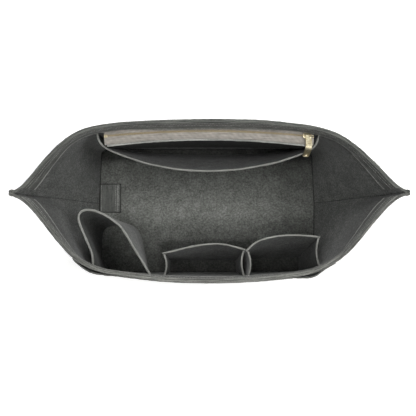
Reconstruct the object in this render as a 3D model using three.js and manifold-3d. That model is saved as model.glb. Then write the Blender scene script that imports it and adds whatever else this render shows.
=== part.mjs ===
// Purse organizer insert: a soft felt tote liner, open at the top, with its ends pulled out to points.
// Millimetres, +Z up, front towards -Y, origin under the middle of the base.
import * as THREE from 'three';
import { mergeVertices } from 'three/addons/utils/BufferGeometryUtils.js';
import Module from 'manifold-3d';

const wasm = await Module();
wasm.setup();

// Felt thicknesses, and the clearance between pieces that are sewn or laid together
const wallFelt = 3;
const pocketFelt = 2.2;
const hemFelt = 1.6;
const seamGap = 0.3;
const edgeGap = 0.5;

// Body of the organizer, measured to the middle of the wall felt
const baseLength = 324;
const baseWidth = 190;
const endBow = 3;
const cornerRadius = 14;
const baseLip = 2.4;
const wallHeight = 172;
const seamOffset = 10;
const seamAllowance = 5;
const rimHalfLength = 229.5;
const rimFrontDepth = 102.5;
const rimBackDepth = 84.4;
const hemHeight = 22;
const hemEndRoom = 12;

// Half of each rim from the middle to the tip, as shares of its length and depth
const frontRimShares = [
  [0, 1], [0.15, 0.99], [0.3, 0.964], [0.42, 0.933], [0.5, 0.9], [0.55, 0.867], [0.6, 0.82], [0.65, 0.755],
  [0.695, 0.675], [0.745, 0.55], [0.797, 0.413], [0.85, 0.268], [0.904, 0.14], [0.954, 0.055],
];
const backRimShares = [
  [0, 1], [0.15, 0.99], [0.3, 0.972], [0.457, 0.936], [0.562, 0.885], [0.61, 0.85], [0.66, 0.8],
  [0.71, 0.728], [0.76, 0.628], [0.81, 0.498], [0.858, 0.354], [0.906, 0.2], [0.956, 0.07],
];

// Zip pocket on the back wall: the chain lies on one flat arc, a reach away from the wall
const zipHeight = 150;
const zipMiddleReach = 6.4;
const zipEndReach = 4.8;
const zipHalfChord = 127;
const tapeThickness = 0.8;
const tapeHalfLength = 127.5;
const beadWidth = 1.3;
const beadHeight = 1.8;
const chainGap = 1.1;
const stopLength = 4.4;
const topStopLength = 2;
const stopMargin = 0.8;
const zipPanelHalfLength = 124.5;
const zipPanelFoot = 28;
const zipPanelDepth = 9;
const zipPanelEndDrop = 1.8;
const zipPanelRise = 1.6;
const zipReturnDip = 4;

// Zipper slider and pull
const sliderLength = 11;
const sliderWidth = 7;
const sliderPlate = 0.9;
const sliderRest = 119;
const sliderWeb = 0.5;
const sliderWebLength = 4;
const sliderLip = 0.6;
const channelRoom = 0.4;
const lugThickness = 1.2;
const lugHeight = 3;
const pinRadius = 0.7;
const pinHeight = 1.8;
const eyeRadius = 1.4;
const eyeLength = 5;
const tabWidth = 8.2;
const tabThickness = 1.4;
const tabFlat = 13.5;
const tabBendRadius = 5;
const tabBendAngle = 50 * THREE.MathUtils.DEG2RAD;
const tabTip = 10.5;

// Open slip pocket in front of the zip pocket
const slipHalfLength = 132;
const slipDepth = 52.4;
const slipFootDepth = 10;
const slipEndHeight = 150;
const slipDip = 16;
const slipShares = [
  [0, 1], [0.152, 0.985], [0.304, 0.943], [0.448, 0.874], [0.6, 0.777], [0.737, 0.65], [0.82, 0.56],
  [0.896, 0.455], [0.949, 0.345], [0.983, 0.205], [1, 0],
];

// Front pockets: a bulging panel and two gussets each; depths are from the middle of the wall felt
const pocketHeight = 120;
const gussetBow = 3;
const pocketSeam = 2.2;
const pocketA = {
  name: 'front_pocket_a', left: -56.5, right: 43.5, depth: 44.8, footDepth: 20,
  rimShares: [[-1, 0.748], [-0.6, 0.844], [-0.3, 0.929], [0, 0.984], [0.3, 1], [0.6, 0.964], [1, 0.84]],
};
const pocketB = {
  name: 'front_pocket_b', left: 49, right: 138.5, depth: 55.3, footDepth: 24,
  rimShares: [
    [-1, 0.68], [-0.88, 0.783], [-0.71, 0.866], [-0.37, 0.951], [0, 0.992], [0.3, 1], [0.65, 0.987], [1, 0.958],
  ],
};

// Bottle holder: a loop of felt off the front wall, at the rim and where it stands on the base
const holderHeight = 130;
const holderFelt = 2.8;
const holderLeft = -163;
const holderWidth = 90;
const holderFront = -86;
const holderDepth = 79;
const holderLeftSeam = -143;
const holderRightSeam = -73;
const holderFootLeftSeam = -151;
const holderFootRightSeam = -90;
const holderRimShares = [
  [0.209, 0.3], [0.141, 0.486], [0.069, 0.673], [0.008, 0.861], [0.018, 0.947], [0.09, 0.992], [0.171, 0.995],
  [0.253, 0.972], [0.337, 0.933], [0.419, 0.878], [0.501, 0.813], [0.584, 0.741], [0.682, 0.578],
  [0.78, 0.391], [0.88, 0.204],
];
const holderFootShares = [
  [0.049, 0.152], [0.041, 0.329], [0.04, 0.481], [0.044, 0.608], [0.072, 0.709], [0.133, 0.778],
  [0.211, 0.808], [0.3, 0.818], [0.4, 0.818], [0.5, 0.804], [0.594, 0.759], [0.664, 0.671], [0.708, 0.532],
  [0.744, 0.367], [0.778, 0.177], [0.795, 0.06],
];

// Sewn tab on the base and the flat pocket outside the front wall
const baseTabLength = 32;
const baseTabWidth = 44;
const baseTabThickness = 2;
const baseTabMiddle = 18;
const baseTabSetback = 1.2;
const outerPocketFelt = 1.9;
const outerPocketHeight = 150;
const outerPocketFoot = 6;
const outerPocketSetback = 97;

// How finely the curved sheets are divided, in counts
const wallColumns = 72;
const wallRows = 4;
const stripRows = 1;
const zipSteps = 28;
const panelColumns = 28;
const panelRows = 4;
const gussetColumns = 6;
const bendSteps = 6;
const holderColumns = 44;
const roundSteps = 24;

const feltMaterial = (color) => new THREE.MeshStandardMaterial({ color, roughness: 0.95, metalness: 0 });
const metalMaterial = (color) => new THREE.MeshStandardMaterial({ color, roughness: 0.3, metalness: 1 });
const colours = {
  wall: 0x5c5d5a, hem: 0x545552, base: 0x646663, pocket: 0x5f605d, holder: 0x585956,
  tape: 0x8f8a83, chain: 0x9a8f6c, gold: 0xc8bea0, tab: 0x4f504d,
};

const group = new THREE.Group();

function addMesh(name, geometry, material) {
  const mesh = new THREE.Mesh(geometry, material);
  mesh.name = name;
  group.add(mesh);
  return mesh;
}

// Joins and cuts

function toSolid(geometry) {
  const bare = geometry.clone();
  bare.deleteAttribute('normal');
  bare.deleteAttribute('uv');
  const merged = mergeVertices(bare);
  const triVerts = merged.index
    ? Uint32Array.from(merged.index.array)
    : Uint32Array.from(merged.attributes.position.array.keys());
  return new wasm.Manifold(new wasm.Mesh({
    numProp: 3, vertProperties: Float32Array.from(merged.attributes.position.array), triVerts,
  }));
}

function toGeometry(solid) {
  const { vertProperties, triVerts } = solid.getMesh();
  const geometry = new THREE.BufferGeometry();
  geometry.setAttribute('position', new THREE.BufferAttribute(vertProperties, 3));
  geometry.setIndex(new THREE.BufferAttribute(triVerts, 1));
  geometry.computeVertexNormals();
  return geometry;
}

// A box between two corners
function blockBetween(low, high) {
  const size = new THREE.Vector3().subVectors(high, low);
  const middle = new THREE.Vector3().addVectors(low, high).multiplyScalar(0.5);
  return new THREE.BoxGeometry(size.x, size.y, size.z).translate(middle.x, middle.y, middle.z);
}

// Closed solid between two grids of points with the same rows and columns
function solidBetween(gridA, gridB) {
  const rows = gridA.length;
  const columns = gridA[0].length;
  const places = [];
  for (const grid of [gridA, gridB]) {
    for (const row of grid) for (const p of row) places.push(p.x, p.y, p.z);
  }
  const index = [];
  const at = (side, row, column) => (side * rows + row) * columns + column;
  const quad = (a, b, c, d) => index.push(a, b, c, a, c, d);
  for (let r = 0; r < rows - 1; r += 1) {
    for (let c = 0; c < columns - 1; c += 1) {
      quad(at(0, r, c), at(0, r, c + 1), at(0, r + 1, c + 1), at(0, r + 1, c));
      quad(at(1, r, c), at(1, r + 1, c), at(1, r + 1, c + 1), at(1, r, c + 1));
    }
    quad(at(0, r, 0), at(0, r + 1, 0), at(1, r + 1, 0), at(1, r, 0));
    const last = columns - 1;
    quad(at(0, r, last), at(1, r, last), at(1, r + 1, last), at(0, r + 1, last));
  }
  for (let c = 0; c < columns - 1; c += 1) {
    quad(at(0, 0, c), at(1, 0, c), at(1, 0, c + 1), at(0, 0, c + 1));
    const top = rows - 1;
    quad(at(0, top, c), at(0, top, c + 1), at(1, top, c + 1), at(1, top, c));
  }
  const vertex = (i) => new THREE.Vector3().fromArray(places, i * 3);
  let volume = 0;
  for (let i = 0; i < index.length; i += 3) {
    volume += vertex(index[i]).dot(vertex(index[i + 1]).cross(vertex(index[i + 2])));
  }
  if (volume < 0) index.reverse();
  const geometry = new THREE.BufferGeometry();
  geometry.setAttribute('position', new THREE.Float32BufferAttribute(places, 3));
  geometry.setIndex(index);
  geometry.computeVertexNormals();
  return geometry;
}

// A plan line moved sideways by a distance, with mitred corners and its heights kept
function offsetLine(line, distance) {
  const leastShare = 0.35;
  return line.map((p, i) => {
    const before = line[Math.max(i - 1, 0)];
    const after = line[Math.min(i + 1, line.length - 1)];
    const a = new THREE.Vector2(p.x - before.x, p.y - before.y);
    const b = new THREE.Vector2(after.x - p.x, after.y - p.y);
    if (i === 0) a.copy(b);
    if (i === line.length - 1) b.copy(a);
    a.normalize();
    b.normalize();
    const normal = new THREE.Vector2(-a.y - b.y, a.x + b.x).normalize();
    const mitre = distance / Math.max(b.x * normal.y - b.y * normal.x, leastShare);
    return new THREE.Vector3(p.x + normal.x * mitre, p.y + normal.y * mitre, p.z);
  });
}

// A standing sheet of felt whose middle follows the lines given, one line per level. An end that is
// sewn to a wall is cut to lie along it: seat gives the point of the wall's face at an x and a height.
function standingSheet(lines, thickness, seat = null, ends = []) {
  const faces = [1, -1].map((way) => lines.map((line) => {
    const face = offsetLine(line, (way * thickness) / 2);
    for (const end of ends) {
      const i = end < 0 ? 0 : face.length - 1;
      face[i].copy(seat(face[i].x, face[i].z));
    }
    return face;
  }));
  return solidBetween(...faces);
}

// A lying strip between two lines
function lyingStrip(lineA, lineB, thickness) {
  const lifted = (line, rise) => line.map((p) => new THREE.Vector3(p.x, p.y, p.z + rise));
  return solidBetween(
    [lifted(lineA, thickness / 2), lifted(lineB, thickness / 2)],
    [lifted(lineA, -thickness / 2), lifted(lineB, -thickness / 2)],
  );
}

// A plan path through corners rounded by one radius
function roundedPath(corners, radius) {
  const path = new THREE.Path();
  path.moveTo(corners[0].x, corners[0].y);
  for (let i = 1; i < corners.length - 1; i += 1) {
    const into = new THREE.Vector2().subVectors(corners[i - 1], corners[i]).setLength(radius).add(corners[i]);
    const out = new THREE.Vector2().subVectors(corners[i + 1], corners[i]).setLength(radius).add(corners[i]);
    path.lineTo(into.x, into.y);
    path.quadraticCurveTo(corners[i].x, corners[i].y, out.x, out.y);
  }
  const last = corners[corners.length - 1];
  path.lineTo(last.x, last.y);
  return path;
}

// Walls: each is one sheet from side seam to side seam; side is -1 for the front and 1 for the back

const baseThickness = wallFelt;
const wallFoot = baseThickness + seamGap;
const seamHalfGap = (wallFelt + seamGap) / 2;

function footCurve(side) {
  const half = baseLength / 2;
  const seamY = seamOffset + side * seamHalfGap;
  const wallY = (side * baseWidth) / 2;
  return roundedPath([
    new THREE.Vector2(-half - endBow, seamY), new THREE.Vector2(-half, wallY),
    new THREE.Vector2(half, wallY), new THREE.Vector2(half + endBow, seamY),
  ], cornerRadius);
}

function rimCurve(side) {
  const shares = side < 0 ? frontRimShares : backRimShares;
  const depth = side < 0 ? rimFrontDepth : rimBackDepth;
  const half = shares.map(([x, y]) => new THREE.Vector2(x * rimHalfLength, seamOffset + side * y * depth));
  half.push(new THREE.Vector2(rimHalfLength, seamOffset + side * seamHalfGap));
  const mirrored = half.slice(1).reverse().map((p) => new THREE.Vector2(-p.x, p.y));
  const curve = new THREE.SplineCurve([...mirrored, ...half]);
  curve.arcLengthDivisions = wallColumns * wallRows;
  return curve;
}

const walls = {};
for (const side of [-1, 1]) walls[side] = { foot: footCurve(side), rim: rimCurve(side) };

// Middle of the wall felt at a share of its length and a share of its height
function wallPoint(side, along, up) {
  const foot = walls[side].foot.getPoint(along);
  const rim = walls[side].rim.getPointAt(along);
  const rise = Math.sqrt(wallHeight ** 2 - foot.distanceToSquared(rim));
  const place = foot.lerp(rim, up);
  return new THREE.Vector3(place.x, place.y, wallFoot + rise * up);
}

function wallRise(side, along) {
  return wallPoint(side, along, 1).z - wallFoot;
}

// One level of a wall without its seam allowances, between two shares of its length
function wallLine(side, up, from = 0, to = 1) {
  const first = Math.round(from * wallColumns);
  const last = Math.round(to * wallColumns);
  const line = [];
  for (let c = first; c <= last; c += 1) line.push(wallPoint(side, c / wallColumns, up));
  return line;
}

// The whole level, with the seam allowance turned straight out at each end
function wallLevel(side, up) {
  const line = wallLine(side, up);
  const first = line[0];
  const last = line[line.length - 1];
  return [
    new THREE.Vector3(first.x - seamAllowance, first.y, first.z), ...line,
    new THREE.Vector3(last.x + seamAllowance, last.y, last.z),
  ];
}

// The plan line of a wall's middle cut level at a height, moved inwards
function wallCut(side, z, inwards) {
  const line = [];
  for (let c = 0; c <= wallColumns; c += 1) {
    const along = c / wallColumns;
    line.push(wallPoint(side, along, (z - wallFoot) / wallRise(side, along)));
  }
  return offsetLine(line, -side * inwards);
}

// The point of that line at x
const cutLines = new Map();
function wallPlace(side, x, z, inwards) {
  const key = `${side} ${z} ${inwards}`;
  if (!cutLines.has(key)) cutLines.set(key, wallCut(side, z, inwards));
  const line = cutLines.get(key);
  const next = line.findIndex((p) => p.x > x);
  const [a, b] = [line[next - 1], line[next]];
  return new THREE.Vector3(x, a.y + ((b.y - a.y) * (x - a.x)) / (b.x - a.x), z);
}

const hemUp = 1 - hemHeight / wallHeight;
const wallLevels = [];
for (let r = 0; r <= wallRows; r += 1) wallLevels.push((hemUp * r) / wallRows);
wallLevels.push(1);

for (const [side, name] of [[-1, 'front'], [1, 'back']]) {
  const lines = wallLevels.map((up) => wallLevel(side, up));
  addMesh(`${name}_wall`, standingSheet(lines, wallFelt), feltMaterial(colours.wall));
  const inset = wallFelt / 2 + seamGap + hemFelt / 2;
  const endShare = hemEndRoom / walls[side].rim.getLength();
  const strip = [];
  for (let r = 0; r <= stripRows; r += 1) {
    const up = hemUp + ((1 - hemUp) * r) / stripRows;
    strip.push(offsetLine(wallLine(side, up), -side * inset).slice(
      Math.ceil(endShare * wallColumns), wallColumns + 1 - Math.ceil(endShare * wallColumns),
    ));
  }
  addMesh(`${name}_hem_facing`, standingSheet(strip, hemFelt), feltMaterial(colours.hem));
}

// Base panel: its edge stands a lip proud of the walls all round, and the walls stand on it
function makeBase() {
  const outline = [];
  for (const side of [-1, 1]) {
    const line = [];
    for (let c = 0; c <= wallColumns; c += 1) {
      const p = walls[side].foot.getPoint(c / wallColumns);
      line.push(new THREE.Vector3(p.x, p.y, 0));
    }
    const seam = new THREE.Vector3(line[0].x, seamOffset, 0);
    const farSeam = new THREE.Vector3(line[line.length - 1].x, seamOffset, 0);
    const outer = offsetLine([seam, ...line.slice(1, -1), farSeam], side * (wallFelt / 2 + baseLip));
    outline.push(...(side < 0 ? outer : outer.reverse()).slice(0, -1));
  }
  const shape = new THREE.Shape(outline.map((p) => new THREE.Vector2(p.x, p.y)));
  return new THREE.ExtrudeGeometry(shape, { depth: baseThickness, bevelEnabled: false });
}
addMesh('base_panel', makeBase(), feltMaterial(colours.base));

// Zip pocket: panel, two tapes, two rows of teeth, their stops

const inWall = wallFelt / 2 + seamGap;
const zipMiddleY = wallPlace(1, 0, zipHeight, inWall).y - zipMiddleReach;
const zipSagitta = zipMiddleY - wallPlace(1, zipHalfChord, zipHeight, inWall).y + zipEndReach;
const zipRadius = (zipHalfChord ** 2 + zipSagitta ** 2) / (2 * zipSagitta);
const zipCentreY = zipMiddleY - zipRadius;

// A point on the chain's arc at x, moved across it, positive towards the back wall
function zipPlace(x, across, z = zipHeight) {
  const angle = Math.asin(x / zipRadius);
  const reach = zipRadius + across;
  return new THREE.Vector3(reach * Math.sin(angle), zipCentreY + reach * Math.cos(angle), z);
}

function zipLine(from, to, across, steps = zipSteps) {
  const line = [];
  for (let i = 0; i <= steps; i += 1) {
    const x = from + ((to - from) * i) / steps;
    line.push(zipPlace(x, typeof across === 'function' ? across(x) : across));
  }
  return line;
}

const zipPanelAcross = (x) => -zipPanelDepth - zipPanelEndDrop * (x / zipPanelHalfLength) ** 2;
const beadMiddle = (chainGap + beadWidth) / 2;
const tapeEdge = chainGap / 2 + beadWidth + seamGap;
const onEdge = wallFelt / 2 + edgeGap;
const onFront = (x, z) => wallPlace(-1, x, z, onEdge);
const onBack = (x, z) => wallPlace(1, x, z, onEdge);

const chainLeft = -tapeHalfLength + stopLength + seamGap;
const chainRight = sliderRest + sliderLength / 2 + seamGap;

const tapeTop = zipLine(-tapeHalfLength, tapeHalfLength, tapeEdge);
const tapeBack = tapeTop.map((p) => wallPlace(1, p.x, zipHeight, inWall));
addMesh('zipper_tape_rear', lyingStrip(tapeTop, tapeBack, tapeThickness), feltMaterial(colours.tape));
addMesh('zipper_tape_front', lyingStrip(
  zipLine(-tapeHalfLength, tapeHalfLength, -tapeEdge),
  zipLine(-tapeHalfLength, tapeHalfLength, (x) => zipPanelAcross(x) + pocketFelt / 2 + seamGap),
  tapeThickness,
), feltMaterial(colours.tape));

for (const [sign, name] of [[1, 'rear'], [-1, 'front']]) {
  const near = sign * (beadMiddle - beadWidth / 2);
  const far = sign * (beadMiddle + beadWidth / 2);
  addMesh(`zipper_teeth_${name}`, lyingStrip(
    zipLine(chainLeft, chainRight, near), zipLine(chainLeft, chainRight, far), beadHeight,
  ), metalMaterial(colours.chain));
  const stopFrom = chainRight + seamGap;
  addMesh(`zipper_top_stop_${name}`, lyingStrip(
    zipLine(stopFrom, stopFrom + topStopLength, near, 1),
    zipLine(stopFrom, stopFrom + topStopLength, far, 1), beadHeight + stopMargin / 2,
  ), metalMaterial(colours.gold));
}
addMesh('zipper_bottom_stop', lyingStrip(
  zipLine(-tapeHalfLength, -tapeHalfLength + stopLength, tapeEdge - seamGap, 1),
  zipLine(-tapeHalfLength, -tapeHalfLength + stopLength, seamGap - tapeEdge, 1), beadHeight + stopMargin,
), metalMaterial(colours.gold));

function makeZipPanel() {
  const lines = [];
  for (let r = 0; r <= panelRows; r += 1) {
    const up = r / panelRows;
    const top = zipHeight + zipPanelRise;
    const level = (z) => zipPanelFoot + (z - zipPanelFoot) * up;
    const line = [];
    for (let c = 0; c <= panelColumns; c += 1) {
      const x = zipPanelHalfLength * ((2 * c) / panelColumns - 1);
      const high = zipPlace(x, zipPanelAcross(x));
      const z = level(top);
      const low = wallPlace(1, high.x, z, inWall + pocketFelt / 2);
      line.push(new THREE.Vector3(high.x, low.y + (high.y - low.y) * up, z));
    }
    const z = level(zipHeight - zipReturnDip);
    const corners = [line[0], line[line.length - 1]];
    const behind = corners.map((p) => new THREE.Vector3(p.x, p.y + pocketFelt / 2 + seamGap / 2, z));
    const ends = corners.map((p) => wallPlace(1, p.x, z, inWall));
    lines.push([ends[0], behind[0], ...line, behind[1], ends[1]]);
  }
  return standingSheet(lines, pocketFelt, onBack, [-1, 1]);
}
addMesh('zip_pocket_panel', makeZipPanel(), feltMaterial(colours.pocket));

// Slider and pull, made round the chain's middle with x along the chain, then put in place

function makeSlider() {
  const inner = beadHeight / 2 + channelRoom;
  const top = inner + sliderPlate;
  const halfLength = sliderLength / 2;
  const halfWidth = sliderWidth / 2;
  const slot = tapeThickness / 2 + seamGap;
  const box = (x0, y0, z0, x1, y1, z1) =>
    toSolid(blockBetween(new THREE.Vector3(x0, y0, z0), new THREE.Vector3(x1, y1, z1)));
  let body = box(-halfLength, -halfWidth, inner, halfLength, halfWidth, top);
  body = body.add(box(-halfLength, -halfWidth, -top, halfLength, halfWidth, -inner));
  body = body.add(box(halfLength - sliderWebLength, -sliderWeb / 2, -top, halfLength, sliderWeb / 2, top));
  for (const sign of [-1, 1]) {
    const near = sign * (halfWidth - sliderLip);
    const far = sign * halfWidth;
    const [low, high] = [Math.min(near, far), Math.max(near, far)];
    body = body.add(box(-halfLength, low, slot, halfLength, high, top));
    body = body.add(box(-halfLength, low, -top, halfLength, high, -slot));
    const lugNear = sign * (eyeLength / 2 + seamGap);
    const lugFar = lugNear + sign * lugThickness;
    const [left, right] = [Math.min(lugNear, lugFar), Math.max(lugNear, lugFar)];
    body = body.add(box(left, -eyeRadius, inner, right, eyeRadius, top + lugHeight));
  }
  const bore = new THREE.CylinderGeometry(pinRadius + seamGap, pinRadius + seamGap, sliderLength, roundSteps)
    .rotateZ(Math.PI / 2).translate(0, 0, top + pinHeight);
  body = body.subtract(toSolid(bore));
  return { geometry: toGeometry(body), pinZ: top + pinHeight, top };
}

// Side view of the tab, from the eye forwards, bent down at its tip
function tabProfile(start) {
  const halfThick = tabThickness / 2;
  const upper = [];
  const lower = [];
  const add = (y, z, angle) => {
    upper.push(new THREE.Vector2(y + halfThick * Math.sin(angle), z + halfThick * Math.cos(angle)));
    lower.push(new THREE.Vector2(y - halfThick * Math.sin(angle), z - halfThick * Math.cos(angle)));
  };
  add(start, 0, 0);
  for (let i = 0; i <= bendSteps; i += 1) {
    const angle = (tabBendAngle * i) / bendSteps;
    add(tabFlat + tabBendRadius * Math.sin(angle), -tabBendRadius * (1 - Math.cos(angle)), angle);
  }
  const endY = tabFlat + tabBendRadius * Math.sin(tabBendAngle) + tabTip * Math.cos(tabBendAngle);
  const endZ = -tabBendRadius * (1 - Math.cos(tabBendAngle)) - tabTip * Math.sin(tabBendAngle);
  add(endY, endZ, tabBendAngle);
  return new THREE.Shape([...upper, ...lower.reverse()]);
}

function makeTab() {
  // The side view is drawn in x and y and turned so that x runs to the front and y runs up
  const across = (shape, width) => new THREE.ExtrudeGeometry(shape, { depth: width, bevelEnabled: false })
    .translate(0, 0, -width / 2).rotateX(Math.PI / 2).rotateZ(-Math.PI / 2);
  const clearOfLugs = eyeRadius * 2 + seamGap;
  let tab = toSolid(across(tabProfile(clearOfLugs), tabWidth));
  const neck = new THREE.Shape([
    new THREE.Vector2(0, -tabThickness / 2), new THREE.Vector2(clearOfLugs + tabThickness, -tabThickness / 2),
    new THREE.Vector2(clearOfLugs + tabThickness, tabThickness / 2), new THREE.Vector2(0, tabThickness / 2),
  ]);
  tab = tab.add(toSolid(across(neck, eyeLength)));
  const round = (radius, length) => toSolid(
    new THREE.CylinderGeometry(radius, radius, length, roundSteps).rotateZ(Math.PI / 2),
  );
  tab = tab.add(round(eyeRadius, eyeLength)).subtract(round(pinRadius + seamGap, sliderLength));
  return toGeometry(tab);
}

const slider = makeSlider();
const sliderAngle = Math.asin(sliderRest / zipRadius);
const sliderGroup = new THREE.Group();
sliderGroup.position.copy(zipPlace(sliderRest, 0));
sliderGroup.rotation.z = -sliderAngle;
const pinLength = eyeLength + 2 * (seamGap + lugThickness);
const sliderParts = [
  ['slider_body', slider.geometry, 0],
  ['slider_pin', new THREE.CylinderGeometry(pinRadius, pinRadius, pinLength, roundSteps).rotateZ(Math.PI / 2),
    slider.pinZ],
  ['pull_tab', makeTab(), slider.pinZ],
];
for (const [name, geometry, height] of sliderParts) {
  const mesh = new THREE.Mesh(geometry, metalMaterial(colours.gold));
  mesh.name = name;
  mesh.position.z = height;
  sliderGroup.add(mesh);
}
group.add(sliderGroup);

// Slip pocket: one wide panel that bulges forwards, sewn to the back wall at both ends

function makeSlipPanel() {
  const half = slipShares.map(([x, y]) => new THREE.Vector2(x, y));
  const mirrored = half.slice(1).reverse().map((p) => new THREE.Vector2(-p.x, p.y));
  const rim = new THREE.SplineCurve([...mirrored, ...half]);
  const footZ = baseThickness + seamGap;
  const columns = panelColumns * 2;
  const lines = [];
  for (let r = 0; r <= panelRows; r += 1) {
    const up = r / panelRows;
    const depth = slipFootDepth + (slipDepth - slipFootDepth) * up;
    const line = [];
    for (let c = 0; c <= columns; c += 1) {
      const share = rim.getPointAt(c / columns);
      const x = share.x * slipHalfLength;
      const topZ = slipEndHeight - slipDip * (1 - share.x ** 4);
      const z = footZ + (topZ - footZ) * up;
      const onWall = wallPlace(1, x, z, inWall);
      line.push(new THREE.Vector3(onWall.x, onWall.y - share.y * depth, z));
    }
    lines.push(line);
  }
  return standingSheet(lines, pocketFelt, onBack, [-1, 1]);
}
addMesh('slip_pocket_panel', makeSlipPanel(), feltMaterial(colours.pocket));

// Front pockets

function pocketPanelPlace(pocket, x, up) {
  const half = (pocket.right - pocket.left) / 2;
  const share = (x - pocket.left) / half - 1;
  const shares = pocket.rimShares;
  const found = shares.findIndex(([at]) => at > share);
  const after = found < 0 ? shares.length - 1 : Math.max(found, 1);
  const [a, b] = [shares[after - 1], shares[after]];
  const depth = pocket.depth * (a[1] + ((b[1] - a[1]) * (share - a[0])) / (b[0] - a[0]));
  const z = wallFoot + (pocketHeight - wallFoot) * up;
  return new THREE.Vector3(x, -baseWidth / 2 + pocket.footDepth + (depth - pocket.footDepth) * up, z);
}

function makePocketPanel(pocket) {
  const lines = [];
  for (let r = 0; r <= panelRows; r += 1) {
    const line = [];
    for (let c = 0; c <= panelColumns; c += 1) {
      const from = pocket.left - pocketSeam;
      const x = from + ((pocket.right + pocketSeam - from) * c) / panelColumns;
      line.push(pocketPanelPlace(pocket, x, r / panelRows));
    }
    lines.push(line);
  }
  return standingSheet(lines, pocketFelt);
}

function makeGusset(pocket, x, bow) {
  const lines = [];
  for (let r = 0; r <= panelRows; r += 1) {
    const up = r / panelRows;
    const panel = pocketPanelPlace(pocket, x, up);
    const behind = pocketPanelPlace(pocket, x + pocketFelt, up);
    const slope = Math.abs(behind.y - panel.y) / 2;
    const end = panel.clone().setY(panel.y - pocketFelt / 2 - seamGap - slope);
    const start = wallPlace(-1, x, panel.z, onEdge);
    const line = [];
    for (let c = 0; c <= gussetColumns; c += 1) {
      const share = c / gussetColumns;
      const p = start.clone().lerp(end, share);
      p.x += bow * up * Math.sin(Math.PI * share);
      line.push(p);
    }
    lines.push(line);
  }
  return standingSheet(lines, pocketFelt, onFront, [-1]);
}

for (const pocket of [pocketA, pocketB]) {
  addMesh(`${pocket.name}_panel`, makePocketPanel(pocket), feltMaterial(colours.pocket));
  addMesh(`${pocket.name}_gusset_left`, makeGusset(pocket, pocket.left, gussetBow),
    feltMaterial(colours.pocket));
  addMesh(`${pocket.name}_gusset_right`, makeGusset(pocket, pocket.right, -gussetBow),
    feltMaterial(colours.pocket));
}

// Bottle holder: a loop whose two ends are sewn to the front wall

function makeHolder() {
  const curve = (shares, leftX, rightX, z) => {
    const between = shares.map(([x, y]) =>
      new THREE.Vector2(holderLeft + x * holderWidth, holderFront + y * holderDepth));
    const ends = [leftX, rightX].map((x) => wallPlace(-1, x, z, inWall));
    return new THREE.SplineCurve([
      new THREE.Vector2(ends[0].x, ends[0].y), ...between, new THREE.Vector2(ends[1].x, ends[1].y),
    ]);
  };
  const footZ = baseThickness + seamGap;
  const rim = curve(holderRimShares, holderLeftSeam, holderRightSeam, holderHeight);
  const foot = curve(holderFootShares, holderFootLeftSeam, holderFootRightSeam, footZ);
  const lines = [];
  for (let r = 0; r <= panelRows; r += 1) {
    const up = r / panelRows;
    const z = footZ + (holderHeight - footZ) * up;
    const line = [];
    for (let c = 0; c <= holderColumns; c += 1) {
      const p = foot.getPointAt(c / holderColumns).lerp(rim.getPointAt(c / holderColumns), up);
      line.push(new THREE.Vector3(p.x, p.y, z));
    }
    lines.push(line);
  }
  return standingSheet(lines, holderFelt, onFront, [-1, 1]);
}
addMesh('bottle_holder', makeHolder(), feltMaterial(colours.holder));

// Tab sewn in at the left end of the base, lying on it

const baseTabLeft = -baseLength / 2 - endBow + wallFelt / 2 + seamGap + baseTabSetback;
const baseTabBottom = baseThickness + seamGap;
addMesh('base_tab', blockBetween(
  new THREE.Vector3(baseTabLeft, baseTabMiddle - baseTabWidth / 2, baseTabBottom),
  new THREE.Vector3(baseTabLeft + baseTabLength, baseTabMiddle + baseTabWidth / 2,
    baseTabBottom + baseTabThickness),
), feltMaterial(colours.tab));

// Flat pocket outside the front wall, from corner to corner

function makeOuterPocket() {
  const inset = wallFelt / 2 + seamGap + outerPocketFelt / 2;
  const columns = Math.round((outerPocketSetback / walls[-1].foot.getLength()) * wallColumns);
  const lines = [];
  for (let r = 0; r <= panelRows; r += 1) {
    const lowUp = outerPocketFoot / wallHeight;
    const highUp = outerPocketHeight / wallHeight;
    const up = lowUp + ((highUp - lowUp) * r) / panelRows;
    lines.push(offsetLine(wallLine(-1, up), -inset).slice(columns, wallColumns + 1 - columns));
  }
  return standingSheet(lines, outerPocketFelt);
}
addMesh('outer_pocket_panel', makeOuterPocket(), feltMaterial(colours.wall));

export default group;
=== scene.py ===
import math

import bpy
import numpy as np
from mathutils import Matrix, Vector


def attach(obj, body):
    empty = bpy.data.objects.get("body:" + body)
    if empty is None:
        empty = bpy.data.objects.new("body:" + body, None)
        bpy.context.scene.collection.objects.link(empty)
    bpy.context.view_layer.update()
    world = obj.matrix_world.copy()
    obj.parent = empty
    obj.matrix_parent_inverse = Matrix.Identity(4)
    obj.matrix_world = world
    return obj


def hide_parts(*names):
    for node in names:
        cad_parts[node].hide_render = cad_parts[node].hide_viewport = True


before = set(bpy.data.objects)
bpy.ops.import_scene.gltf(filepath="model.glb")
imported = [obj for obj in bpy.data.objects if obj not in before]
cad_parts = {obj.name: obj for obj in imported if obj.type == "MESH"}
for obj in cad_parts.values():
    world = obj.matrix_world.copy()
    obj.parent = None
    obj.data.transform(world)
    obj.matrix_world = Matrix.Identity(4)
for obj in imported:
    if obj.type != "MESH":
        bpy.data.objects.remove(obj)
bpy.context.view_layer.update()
mm = 0.001

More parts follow.
